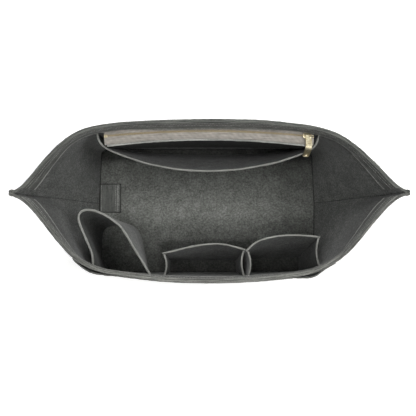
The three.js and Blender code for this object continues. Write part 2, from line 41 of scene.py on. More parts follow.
# Driving sizes of the insert in mm, as in the part's own source
liner = {
    "wallFelt": 3.0, "pocketFelt": 2.2, "hemFelt": 1.6, "outerFelt": 1.9, "seamGap": 0.3,
    "baseLength": 324, "baseWidth": 190, "endBow": 3, "cornerRadius": 14, "baseLip": 2.4,
    "wallHeight": 172, "seamOffset": 10,
    "rimHalfLength": 229.5, "rimFrontDepth": 102.5, "rimBackDepth": 84.4,
    "frontRimShares": [
        (0, 1), (0.15, 0.99), (0.3, 0.964), (0.42, 0.933), (0.5, 0.9), (0.55, 0.867), (0.6, 0.82),
        (0.65, 0.755), (0.695, 0.675), (0.745, 0.55), (0.797, 0.413), (0.85, 0.268), (0.904, 0.14),
        (0.954, 0.055)],
    "backRimShares": [
        (0, 1), (0.15, 0.99), (0.3, 0.972), (0.457, 0.936), (0.562, 0.885), (0.61, 0.85), (0.66, 0.8),
        (0.71, 0.728), (0.76, 0.628), (0.81, 0.498), (0.858, 0.354), (0.906, 0.2), (0.956, 0.07)],
    # how the soft rims of this one stand off the even shape: x and how far they move in y
    "frontLean": [(-235, -1), (-214, -2), (-189, -2.2), (-172, -2.4), (-150, -2.1), (-130, -1), (-106, 0.5),
                  (-85, 0.4), (-60, -0.6), (0, -0.4), (62, -1.2), (108, -1.2), (130, -0.8), (147, 0.5), (165, 0),
                  (184, -0.4), (198, -1), (214, -1), (235, 0)],
    "backLean": [(-235, -0.8), (-215, 0.3), (-186, 0.2), (-174, 1), (-160, 2), (-148, 2.4), (-128, 1.3),
                 (-106, 0.4), (-80, -0.2), (-43, -0.7), (-10, -0.9), (26, -0.5), (60, 0), (94, -0.9),
                 (119, -0.7), (150, -1.1), (167, -2.4), (176, -2.8), (186, -2.3), (198, -0.8), (206, 0),
                 (216, 1), (235, 0.4)],
    "tipReach": 4, "tipFrom": 186,
}
inWall = liner["wallFelt"] / 2 + liner["seamGap"]
footZ = liner["wallFelt"] + liner["seamGap"]
# how far apart the rows and the columns of a felt sheet's mesh lie
spacing = {"up": 4.5, "along": 2.4, "fine": 2.2}


# Curves

def catmullRom(points, steps=40):
    p = np.asarray(points, float)
    out = []
    for i in range(len(p) - 1):
        a, b, c, d = p[max(i - 1, 0)], p[i], p[i + 1], p[min(i + 2, len(p) - 1)]
        t = np.linspace(0, 1, steps, endpoint=False)[:, None]
        v0, v1 = (c - a) / 2, (d - b) / 2
        out.append((2 * b - 2 * c + v0 + v1) * t**3 + (3 * c - 3 * b - 2 * v0 - v1) * t**2 + v0 * t + b)
    out.append(p[-1:])
    return np.concatenate(out)


def spline(points, count=400):
    # a cubic with even bending through points in the plane, its parameter the length along them
    p = np.asarray(points, float)
    t = lengths(p)
    h = np.diff(t)
    n = len(p)
    a, b = np.eye(n), np.zeros_like(p)
    for i in range(1, n - 1):
        a[i, i - 1:i + 2] = h[i - 1], 2 * (h[i - 1] + h[i]), h[i]
        b[i] = 6 * ((p[i + 1] - p[i]) / h[i] - (p[i] - p[i - 1]) / h[i - 1])
    bend = np.linalg.solve(a, b)
    at = np.linspace(0, t[-1], count)
    i = np.clip(np.searchsorted(t, at, "right") - 1, 0, n - 2)
    u, v, step = (at - t[i])[:, None], (t[i + 1] - at)[:, None], h[i][:, None]
    return ((bend[i] * v**3 + bend[i + 1] * u**3) / (6 * step) + (p[i] / step - bend[i] * step / 6) * v
            + (p[i + 1] / step - bend[i + 1] * step / 6) * u)


def lengths(line):
    return np.append(0, np.cumsum(np.linalg.norm(np.diff(line, axis=0), axis=1)))


def along(line, shares):
    # points of a line at shares of its length
    s = lengths(line)
    return np.stack([np.interp(shares, s / s[-1], line[:, k]) for k in range(line.shape[1])], -1)


def smoothed(line, width):
    # a line eased over a width in mm, with its ends kept
    n = 600
    even = along(line, np.linspace(0, 1, n))
    step = lengths(even)[-1] / (n - 1)
    reach = int(3 * width / step)
    kernel = np.exp(-0.5 * (np.arange(-reach, reach + 1) * step / width)**2)
    kernel /= kernel.sum()
    padded = np.concatenate([2 * even[0] - even[reach:0:-1], even, 2 * even[-1] - even[-2:-reach - 2:-1]])
    return np.stack([np.convolve(padded[:, k], kernel, "valid") for k in range(line.shape[1])], -1)


def softCorners(line, times):
    # cuts every corner a few times, and keeps the two ends
    p = np.asarray(line, float)
    for _ in range(times):
        cut = np.empty((2 * len(p) - 2, p.shape[1]))
        cut[0::2] = p[:-1] * 0.75 + p[1:] * 0.25
        cut[1::2] = p[:-1] * 0.25 + p[1:] * 0.75
        p = np.concatenate([p[:1], cut, p[-1:]])
    return p


def marks(length, step, lines=()):
    # shares of a length: even steps, closer at both ends and beside each sewn line
    edge = np.array([0, 0.15, 0.4, 0.8])
    near = np.array([-1.5, -0.9, -0.45, 0, 0.45, 0.9, 1.5])
    at = [np.arange(0, length, step), edge, length - edge, *[line + near for line in lines]]
    at = np.unique(np.clip(np.concatenate(at), 0, length))
    keep = [0.0]
    for a in at[1:]:
        if a - keep[-1] > 0.12:
            keep.append(a)
    keep[-1] = length
    return np.array(keep) / length


def planNormals(line):
    t = np.gradient(line, axis=0)
    n = np.stack([-t[:, 1], t[:, 0]], -1)
    return n / np.linalg.norm(n, axis=1, keepdims=True)


# Walls: ruled from the foot to the rim. side is -1 for the front and 1 for the back

def footLine(side):
    half, r = liner["baseLength"] / 2, liner["cornerRadius"]
    seamY = liner["seamOffset"] + side * (liner["wallFelt"] + liner["seamGap"]) / 2
    ends = np.array([(-half - liner["endBow"], seamY), (half + liner["endBow"], seamY)])
    corners = np.array([(-half, side * liner["baseWidth"] / 2), (half, side * liner["baseWidth"] / 2)])
    line = [ends[0]]
    for corner, before, after in ((corners[0], ends[0], corners[1]), (corners[1], corners[0], ends[1])):
        start = corner + (before - corner) * r / np.linalg.norm(before - corner)
        stop = corner + (after - corner) * r / np.linalg.norm(after - corner)
        t = np.linspace(0, 1, 24)[:, None]
        line.extend(start * (1 - t)**2 + corner * 2 * t * (1 - t) + stop * t**2)
    line.append(ends[1])
    return np.array(line)


def rimLine(side):
    shares = liner["frontRimShares"] if side < 0 else liner["backRimShares"]
    depth = liner["rimFrontDepth"] if side < 0 else liner["rimBackDepth"]
    half = [(x * liner["rimHalfLength"], liner["seamOffset"] + side * y * depth) for x, y in shares]
    seam = (liner["wallFelt"] + liner["seamGap"]) / 2
    half.append((liner["rimHalfLength"], liner["seamOffset"] + side * seam))
    line = catmullRom([(-x, y) for x, y in reversed(half[1:])] + half)
    lean = np.array(liner["frontLean"] if side < 0 else liner["backLean"])
    line[:, 1] += np.interp(line[:, 0], lean[:, 0], lean[:, 1])
    # the right end reaches a little further than the left
    reach = np.clip((line[:, 0] - liner["tipFrom"]) / (liner["rimHalfLength"] - liner["tipFrom"]), 0, 1)
    line[:, 0] += liner["tipReach"] * reach
    line = smoothed(line, 5)
    line[[0, -1], 1] = liner["seamOffset"] + side * seam
    return line


feet = {side: footLine(side) for side in (-1, 1)}
rims = {side: rimLine(side) for side in (-1, 1)}


def ruling(side, shares):
    # both ends of straight lines up the wall, and how far each line rises
    foot, rim = along(feet[side], shares), along(rims[side], shares)
    return foot, rim, np.sqrt(liner["wallHeight"]**2 - ((foot - rim)**2).sum(1))


def wallPoints(side, shares, ups):
    # middle of the wall felt, rows by up and columns by share of its length
    foot, rim, rise = ruling(side, shares)
    ups = np.asarray(ups)[:, None]
    xy = foot + (rim - foot) * ups[..., None]
    return np.concatenate([xy, (footZ + rise * ups)[..., None]], -1)


tableZ = np.linspace(footZ, 171, 64)
tableX = np.linspace(-200, 200, 801)


def wallRows(side):
    # y of the wall's inner face with its sewing gap, for every z and x of the table
    foot, rim, rise = ruling(side, np.linspace(0, 1, 900))
    rows = []
    for z in tableZ:
        line = foot + (rim - foot) * ((z - footZ) / rise)[:, None]
        line = line - side * planNormals(line) * inWall
        order = np.argsort(line[:, 0])
        rows.append(np.interp(tableX, line[order, 0], line[order, 1]))
    return np.array(rows)


wallTable = {side: wallRows(side) for side in (-1, 1)}


def wallY(side, x, z, inwards=0.0):
    # the same at any x and z, and so far inwards
    x, z = np.broadcast_arrays(np.asarray(x, float), np.asarray(z, float))
    i = np.clip((x - tableX[0]) / (tableX[1] - tableX[0]), 0, len(tableX) - 1.001)
    j = np.clip((z - tableZ[0]) / (tableZ[1] - tableZ[0]), 0, len(tableZ) - 1.001)
    i0, j0 = i.astype(int), j.astype(int)
    fi, fj = i - i0, j - j0
    t = wallTable[side]
    y = ((t[j0, i0] * (1 - fi) + t[j0, i0 + 1] * fi) * (1 - fj)
         + (t[j0 + 1, i0] * (1 - fi) + t[j0 + 1, i0 + 1] * fi) * fj)
    return y - side * inwards


# Fields that make the felt uneven, as sums of waves in chosen directions
waveRandom = np.random.default_rng(11)


def waveField(size, count=14):
    way = waveRandom.normal(size=(count, 3))
    way /= np.linalg.norm(way, axis=1, keepdims=True)
    k = way * (2 * math.pi / size) * waveRandom.uniform(0.6, 1.5, (count, 1))
    phase = waveRandom.uniform(0, 2 * math.pi, count)
    return lambda p: np.sin(p @ k.T + phase).sum(-1) / math.sqrt(count / 2)


# the third field is not used, but drawing it keeps the fourth as it is
lumps, fuzz, _, cutWander = [waveField(size) for size in (9, 4.5, 70, 26)]


# Colours and materials

def toLinear(hexColour):
    rgb = [int(hexColour[i:i + 2], 16) / 255 for i in (1, 3, 5)]
    return tuple(c / 12.92 if c <= 0.04045 else ((c + 0.055) / 1.055)**2.4 for c in rgb) + (1.0,)


def perMm(size):
    return 1 / (size * mm)


def addNode(tree, kind, inputs, output=0, **settings):
    # gives one output of the new node; each input is a value or another node's output
    node = tree.nodes.new(kind)
    for key, value in settings.items():
        setattr(node, key, value)
    for key, value in inputs.items():
        if isinstance(value, bpy.types.NodeSocket):
            tree.links.new(value, node.inputs[key])
        else:
            node.inputs[key].default_value = value
    return node.outputs[output] if len(node.outputs) else None


def noise(tree, vector, size, detail, roughness=0.5):
    return addNode(tree, "ShaderNodeTexNoise",
                   {"Vector": vector, "Scale": perMm(size), "Detail": detail, "Roughness": roughness})


def waves(tree, vector, size, **inputs):
    # a wave texture draws about 20 waves to one unit of its scale
    return addNode(tree, "ShaderNodeTexWave", {"Vector": vector, "Scale": perMm(size) / 20, **inputs}, 1)


def drawn(tree, vector, scale=(1, 1, 1), turn=(0, 0, 0)):
    return addNode(tree, "ShaderNodeMapping", {"Vector": vector, "Scale": scale, "Rotation": turn})


def calculate(tree, operation, *values, clamp=False):
    return addNode(tree, "ShaderNodeMath", dict(enumerate(values)), operation=operation, use_clamp=clamp)


def mapRange(tree, value, start, end, low=0.0, high=1.0, smooth=False):
    return addNode(tree, "ShaderNodeMapRange",
                   {"Value": value, "From Min": start, "From Max": end, "To Min": low, "To Max": high},
                   interpolation_type="SMOOTHSTEP" if smooth else "LINEAR")


def overMm(tree, value, start, end, low=0.0, high=1.0):
    return mapRange(tree, value, start * mm, end * mm, low, high, smooth=True)


def awayFrom(tree, value, at):
    return calculate(tree, "ABSOLUTE", calculate(tree, "SUBTRACT", value, at * mm))


def scaled(tree, colour, factor):
    return addNode(tree, "ShaderNodeVectorMath", {0: colour, 3: factor}, operation="SCALE")


def colourRamp(tree, value, stops, interpolation="LINEAR"):
    # stops are places from 0 to 1 with their colours, in order
    output = addNode(tree, "ShaderNodeValToRGB", {"Fac": value})
    ramp = output.node.color_ramp
    ramp.interpolation = interpolation
    for element, (place, colour) in zip(ramp.elements, (stops[0], stops[-1])):
        element.position, element.color = place, colour
    for place, colour in stops[1:-1]:
        ramp.elements.new(place).color = colour
    return output


def shades(tree, value, *colours, places=(0, 1)):
    return colourRamp(tree, value, list(zip(places, map(toLinear, colours))))


def newMaterial(name):
    material = bpy.data.materials.new(name)
    material.use_nodes = True
    material.node_tree.nodes.clear()
    return material, material.node_tree


def surface(material, values, height=None, strength=0.5, depth=0.4):
    # depth is that of the fine relief in mm
    tree = material.node_tree
    if height is not None:
        values["Normal"] = addNode(tree, "ShaderNodeBump",
                                   {"Strength": strength, "Distance": depth * mm, "Height": height})
    shader = addNode(tree, "ShaderNodeBsdfPrincipled", values)
    addNode(tree, "ShaderNodeOutputMaterial", {"Surface": shader})
    return material


def clothGrain(tree):
    return addNode(tree, "ShaderNodeAttribute", {}, "Vector", attribute_name="grain")


def grainAxes(tree, grain):
    return addNode(tree, "ShaderNodeSeparateXYZ", {0: grain}).node.outputs


def objectPlace(tree):
    return addNode(tree, "ShaderNodeTexCoord", {}, "Object")


def shadeTowardsEnds(tree, colour, grain, ends):
    # painted shade: the felt darkens towards the two ends of the front rim,
    # all the way down or only above a height
    place = grainAxes(tree, grain)
    endShade = overMm(tree, awayFrom(tree, place[0], ends["middle"]), ends["from"], ends["to"])
    if "above" in ends:
        endShade = calculate(tree, "MULTIPLY", endShade, overMm(tree, place[1], *ends["above"]))
    return scaled(tree, colour, mapRange(tree, endShade, 0, 1, 1, ends["tone"]))


def paintedFloorLight(tree, colour, grain, paintedLight):
    # painted light and shade on the base: paler across its open middle, darker towards the walls and darkest by the
    # back wall, where the walls shade it
    place = grainAxes(tree, grain)
    stops = paintedLight["lightAcross"]
    first, last = stops[0][0], stops[-1][0]
    across = mapRange(tree, place[1], first * mm, last * mm)
    greys = [((y - first) / (last - first), (grey, grey, grey, 1)) for y, grey in stops]
    tones = colourRamp(tree, across, greys, "EASE")
    shaded = addNode(tree, "ShaderNodeMix", {0: 1.0, 6: colour, 7: tones}, 2, data_type="RGBA",
                     blend_type="MULTIPLY")
    # painted shade: darkest under the front pockets, and darker towards the right end
    under = [overMm(tree, place[axis], start, end) for axis, start, end in paintedLight["pocketShadeRamps"]]
    pocketShade = mapRange(tree, calculate(tree, "MULTIPLY", *under), 0, 1, 1, paintedLight["pocketShadeTone"])
    endShade = overMm(tree, place[0], *paintedLight["shadedEnd"], 1, paintedLight["shadedEndTone"])
    return scaled(tree, shaded, calculate(tree, "MULTIPLY", pocketShade, endShade))


# Needle-punched wool and polyester felt: no weave, pale and dark fibres lying every way, a soft matt nap.
# Its flecks are drawn coarser than single fibres, which are too fine to show
feltLook = {"clouds": 16, "cloudShare": 0.25, "flecks": 2.2, "fibres": 0.55, "fibreWidth": 0.14,
            "fibreTurns": (0.5, 1.6, 2.7), "fibreShare": 0.2, "fibreHeight": 0.8, "tones": (0.53, 0.94)}


def needleFelt(name, dark, mid, pale, stretch=0.9, nap=0.25, paintedLight=None, ends=None):
    material, tree = newMaterial(name)
    grain = clothGrain(tree)
    clouds = noise(tree, grain, feltLook["clouds"], 2)
    flecks = noise(tree, drawn(tree, grain, (stretch, 1, 1)), feltLook["flecks"], 4, 0.7)
    fibres = [noise(tree, drawn(tree, grain, (1, feltLook["fibreWidth"], 1), (0, 0, turn)), feltLook["fibres"], 1)
              for turn in feltLook["fibreTurns"]]
    strands = calculate(tree, "MAXIMUM", calculate(tree, "MAXIMUM", *fibres[:2]), fibres[2])
    cloudy = calculate(tree, "MULTIPLY_ADD", clouds, feltLook["cloudShare"], flecks)
    mixed = calculate(tree, "MULTIPLY_ADD", strands, feltLook["fibreShare"], cloudy)
    tone = mapRange(tree, mixed, *feltLook["tones"])
    colour = shades(tree, tone, dark, mid, pale, places=(0, 0.5, 1))
    if ends:
        colour = shadeTowardsEnds(tree, colour, grain, ends)
    if paintedLight:
        colour = paintedFloorLight(tree, colour, grain, paintedLight)
    height = calculate(tree, "MULTIPLY_ADD", strands, feltLook["fibreHeight"], flecks)
    return surface(material, {"Base Color": colour, "Roughness": 0.96, "Specular IOR Level": 0.18,
                              "Sheen Weight": nap, "Sheen Roughness": 0.55}, height)


# The same felt where it was cut: its needled layers show as streaks along the edge, with loose pale fibre
cutFeltLook = {"streak": 0.035, "loose": 1.6, "looseShare": 0.45, "tones": (0.56, 0.9)}


def cutFelt(name, dark, pale, layer=0.9, ends=None):
    material, tree = newMaterial(name)
    grain = clothGrain(tree)
    layers = noise(tree, drawn(tree, grain, (cutFeltLook["streak"], 1, 1)), layer, 2)
    loose = noise(tree, grain, cutFeltLook["loose"], 4, 0.7)
    mixed = calculate(tree, "MULTIPLY_ADD", loose, cutFeltLook["looseShare"], layers)
    colour = shades(tree, mapRange(tree, mixed, *cutFeltLook["tones"]), dark, pale)
    if ends:
        colour = shadeTowardsEnds(tree, colour, grain, ends)
    return surface(material, {"Base Color": colour, "Roughness": 0.97, "Specular IOR Level": 0.15,
                              "Sheen Weight": 0.3, "Sheen Roughness": 0.6}, mixed, 0.6)


# Spun polyester sewing thread, two plies twisted, a faint shine
def sewingThread(name, colour, paleColour, ply=0.9):
    material, tree = newMaterial(name)
    along = drawn(tree, objectPlace(tree), turn=(0.5, 0.6, 0.7))
    plies = waves(tree, along, ply, Distortion=1.5, Detail=1.0)
    return surface(material, {"Base Color": shades(tree, plies, colour, paleColour), "Roughness": 0.7,
                              "Sheen Weight": 0.2}, plies, 0.5, 0.1)


# Woven polyester zipper tape: smooth, slightly shiny, its warp showing as fine lines along the zipper
tapeLook = {"yarn": 0.8, "warpStretch": 0.03, "twill": 0.8, "grime": 7, "grimeShare": 0.4, "weftShare": 0.06,
            "tones": (0.56, 0.92)}


def zipperTape(name, colour, paleColour):
    material, tree = newMaterial(name)
    grain = clothGrain(tree)
    warp = noise(tree, drawn(tree, grain, (tapeLook["warpStretch"], 1, 1)), tapeLook["yarn"], 2, 0.6)
    grime = noise(tree, grain, tapeLook["grime"], 3)
    weft = waves(tree, drawn(tree, grain, turn=(0, 0, tapeLook["twill"])), tapeLook["yarn"], Distortion=0.5)
    blend = calculate(tree, "MULTIPLY_ADD", grime, tapeLook["grimeShare"], warp)
    blend = calculate(tree, "MULTIPLY_ADD", weft, tapeLook["weftShare"], blend)
    tone = mapRange(tree, blend, *tapeLook["tones"])
    return surface(material, {"Base Color": shades(tree, tone, colour, paleColour), "Roughness": 0.62,
                              "Sheen Weight": 0.2}, blend, 0.4, 0.15)


# Champagne-gold plated zinc alloy, tumbled and polished: bright, with soft handling marks
def platedZinc(name, colour, deepColour, roughness, mark=3.5, scratch=0.8):
    material, tree = newMaterial(name)
    place = objectPlace(tree)
    wear = noise(tree, place, mark, 4, 0.65)
    return surface(material, {"Base Color": shades(tree, wear, deepColour, colour, places=(0.3, 0.6)),
                              "Roughness": mapRange(tree, wear, 0, 1, roughness + 0.14, roughness - 0.06),
                              "Metallic": 1.0}, noise(tree, place, scratch, 3), 0.15, 0.05)


# Nylon coil: a moulded monofilament, satin, dyed a dull gold
def nylonCoil(name, colour, deepColour, mottle=2):
    material, tree = newMaterial(name)
    tone = noise(tree, objectPlace(tree), mottle, 2)
    return surface(material, {"Base Color": shades(tree, tone, deepColour, colour), "Roughness": 0.42,
                              "IOR": 1.53})


# Brushed loop tape on a woven ground: low ribs and a soft pile, with a painted highlight along its fold and painted
# shade along its edges
webLook = {"rib": 2.4, "ribStretch": 0.18, "ribShare": 0.8, "pile": 2.4, "tones": (0.6, 1.2), "fold": (2.2, 0.6),
           "patches": (0.38, 0.56), "edgeShadeBand": (2, 1), "edgeShadeTone": 0.3}


def ribbedWebbing(name, dark, pale, foldHighlightColour, foldAt, length, width):
    material, tree = newMaterial(name)
    grain = clothGrain(tree)
    ribs = noise(tree, drawn(tree, grain, (1, webLook["ribStretch"], 1)), webLook["rib"], 2)
    pile = noise(tree, grain, webLook["pile"], 4, 0.7)
    tone = calculate(tree, "MULTIPLY_ADD", ribs, webLook["ribShare"], pile)
    ground = shades(tree, mapRange(tree, tone, *webLook["tones"]), dark, pale)
    place = grainAxes(tree, grain)
    fold = overMm(tree, awayFrom(tree, place[0], foldAt), *webLook["fold"])
    paintedLight = calculate(tree, "MULTIPLY", fold, mapRange(tree, pile, *webLook["patches"]))
    colour = addNode(tree, "ShaderNodeMix", {0: paintedLight, 6: ground, 7: toLinear(foldHighlightColour)}, 2, data_type="RGBA")
    edgeShade = [overMm(tree, awayFrom(tree, place[axis], middle), *(half - at for at in webLook["edgeShadeBand"]), 1,
                     webLook["edgeShadeTone"])
              for axis, middle, half in ((0, length / 2, length / 2), (1, 0, width / 2))]
    colour = scaled(tree, colour, calculate(tree, "MULTIPLY", *edgeShade))
    return surface(material, {"Base Color": colour, "Roughness": 0.85, "Sheen Weight": 0.3}, tone, 0.6)


wallColours = "#3f413d", "#646663", "#8c8e89"
hemColours = "#3c3e3a", "#5e605b", "#848681"
rimColours = "#565753", "#979892"
frontMiddle = lengths(rims[-1])[-1] / 2
materials = {
    "wall": needleFelt("wallFelt", *wallColours),
    # painted shade: the front wall, its hem facing and its rim darken towards both ends of the rim
    "wallFront": needleFelt("frontWallFelt", *wallColours, ends={
        "middle": frontMiddle + 5, "from": 95, "to": 150, "tone": 0.6, "above": (90, 140)}),
    # the base carries painted light across its open middle, and painted shade towards the walls, under the front
    # pockets and towards its right end
    "base": needleFelt("baseFelt", "#5a5c57", "#7f817c", "#a4a6a1", paintedLight={
        "lightAcross": [(-60, 0.6), (-44, 0.64), (-26, 0.72), (-17, 0.84), (-6, 1), (3, 0.98), (20, 0.8),
                        (36, 0.69), (60, 0.72), (70, 0.7), (80, 0.28), (100, 0.28)],
        "pocketShadeRamps": ((0, -78, -64), (1, -40, -52)), "pocketShadeTone": 0.5, "shadedEnd": (70, 150), "shadedEndTone": 0.74}),
    # a darker copy of the wall felt for the inner faces of pockets and the holder: painted shade
    "pocket": needleFelt("pocketFelt", "#333532", "#4f514e", "#6e706c", nap=0.1),
    # darker still, for the zip pocket's panel: painted shade
    "zipPanelShade": needleFelt("zipPocketFelt", "#232522", "#393b37", "#535550", nap=0.06),
    # near black felt for a band along the base's crease: painted shade
    "seam": needleFelt("seamShadeFelt", "#2a2b29", "#3b3c3a", "#4d4e4b", nap=0.04),
    "hemBack": needleFelt("backHemFelt", *hemColours, stretch=0.12),
    "hemFront": needleFelt("frontHemFelt", *hemColours, stretch=0.12, ends={
        "middle": frontMiddle - 12, "from": 100, "to": 165, "tone": 0.68}),
    "rimFront": cutFelt("cutFeltFrontRim", *rimColours, ends={
        "middle": frontMiddle, "from": 105, "to": 160, "tone": 0.72}),
    "rimOuter": cutFelt("cutFeltOuterPocket", *rimColours),
    # a darker copy of the rims' cut felt for the back rim, whose top faces away from the light: painted shade; the
    # base's cut edges use it too
    "rimBack": cutFelt("cutFeltBackRimShaded", "#434542", "#777973"),
    # much paler cut felt for the lower edges of the hem facings and the zip panel's top: painted highlight
    "lip": cutFelt("cutFeltHemEdgeHighlight", "#989994", "#cbccc6"),
    "cut": cutFelt("cutFeltPocketRims", "#7b7c77", "#a6a7a1", layer=0.8),
    # near black thread, laid along the side seams' valleys as a painted shade line
    "shadeLineThread": sewingThread("seamShadeThread", "#1e1f1d", "#2e2f2c"),
    "thread": sewingThread("greyThread", "#8d8e89", "#b5b6b0"),
    "tape": zipperTape("zipperTapeWeave", "#938d84", "#c6c0b8"),
    "coil": nylonCoil("zipperCoil", "#c5b48e", "#a79672"),
    "gold": platedZinc("champagneGold", "#e3dabf", "#c8b98f", 0.42),
    # its palest colour is a painted highlight along the fold
    "webbing": ribbedWebbing("tabLoopTape", "#51534f", "#787a76", "#a2a39e", 27, 32, 44),
}
print("materials ready:", len(materials))


# Meshes

def makeObject(name, verts, faces, slots, kinds=None, sharp=40, grain=None):
    mesh = bpy.data.meshes.new(name)
    mesh.from_pydata((np.asarray(verts) * mm).tolist(), [], faces)
    for material in slots:
        mesh.materials.append(material)
    if kinds is not None:
        mesh.polygons.foreach_set("material_index", np.asarray(kinds, np.int32))
    if grain is not None:
        # where each point lies in its own cloth: along, across and through it
        layer = mesh.attributes.new("grain", "FLOAT_VECTOR", "POINT")
        layer.data.foreach_set("vector", (np.asarray(grain, np.float32) * mm).ravel())
    mesh.shade_smooth()
    mesh.set_sharp_from_angle(angle=math.radians(sharp))
    obj = bpy.data.objects.new(name, mesh)
    bpy.context.scene.collection.objects.link(obj)
    return obj


def enlist(obj, body, node):
    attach(obj, body)
    if node:
        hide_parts(node)


def gridFaces(rows, columns, start=0, flip=False):
    r, c = np.meshgrid(np.arange(rows - 1), np.arange(columns - 1), indexing="ij")
    a = start + r * columns + c
    quad = np.stack([a, a + 1, a + columns + 1, a + columns], -1).reshape(-1, 4)
    return quad[:, ::-1] if flip else quad


def joinFaces(line, n, flip):
    # from a line of points on one side of a sheet to the same line on its other side, n points later
    quad = np.stack([line[:-1], line[:-1] + n, line[1:] + n, line[1:]], -1)
    return quad[:, ::-1] if flip else quad


def shellFaces(rows, columns):
    # a closed sheet: one grid of points, the same grid on its other side, and the four edges
    n = rows * columns
    index = np.arange(n).reshape(rows, columns)
    edges = (index[0], False), (index[-1], True), (index[:, 0], True), (index[:, -1], False)
    return np.concatenate([gridFaces(rows, columns), gridFaces(rows, columns, n, flip=True),
                           *(joinFaces(line, n, flip) for line, flip in edges)])


def ringFaces(rings, n, flip=False):
    # rings of n points, one above the other, and a cap on the first and the last
    faces = []
    for k in range(0, (rings - 1) * n, n):
        for a in range(n):
            b = (a + 1) % n
            faces.append([k + a, k + b, k + n + b, k + n + a])
    faces += [list(range(n - 1, -1, -1)), list(range((rings - 1) * n, rings * n))]
    return [face[::-1] for face in faces] if flip else faces


def gathered(shapes):
    # several meshes as one
    verts, faces, start = [], [], 0
    for v, f in shapes:
        verts.append(v)
        faces += [[i + start for i in face] for face in f]
        start += len(v)
    return np.concatenate(verts), faces


def edgeProfile(distance, radius, flat):
    t = np.clip(distance / radius, 0, 1)
    return flat + (1 - flat) * np.sqrt(1 - (1 - t)**2)


def bell(distance, width):
    return np.exp(-(distance / width)**2)


def rowDistance(grid, axis):
    # how far each point is from the first and from the last of its row or column
    step = np.linalg.norm(np.diff(grid, axis=axis), axis=-1)
    zero = np.zeros_like(np.take(step, [0], axis=axis))
    fromFirst = np.concatenate([zero, np.cumsum(step, axis=axis)], axis=axis)
    return fromFirst, np.take(fromFirst, [-1], axis=axis) - fromFirst


def sheetNormals(grid):
    normal = np.cross(np.gradient(grid, axis=1), np.gradient(grid, axis=0))
    return normal / np.linalg.norm(normal, axis=-1, keepdims=True)


cutLook = {"roundRadius": 0.8, "flatShare": 0.7, "lumpSize": 0.08, "fuzzSize": 0.03, "grooveWidth": 0.8,
           "layers": 6, "crown": 0.3, "ridge": 0.1, "press": 0.17, "pressReach": 8, "colourWidth": 0.5,
           "levelReach": 8, "tipAt": 2, "tipWidth": 3, "tipHeight": 9}


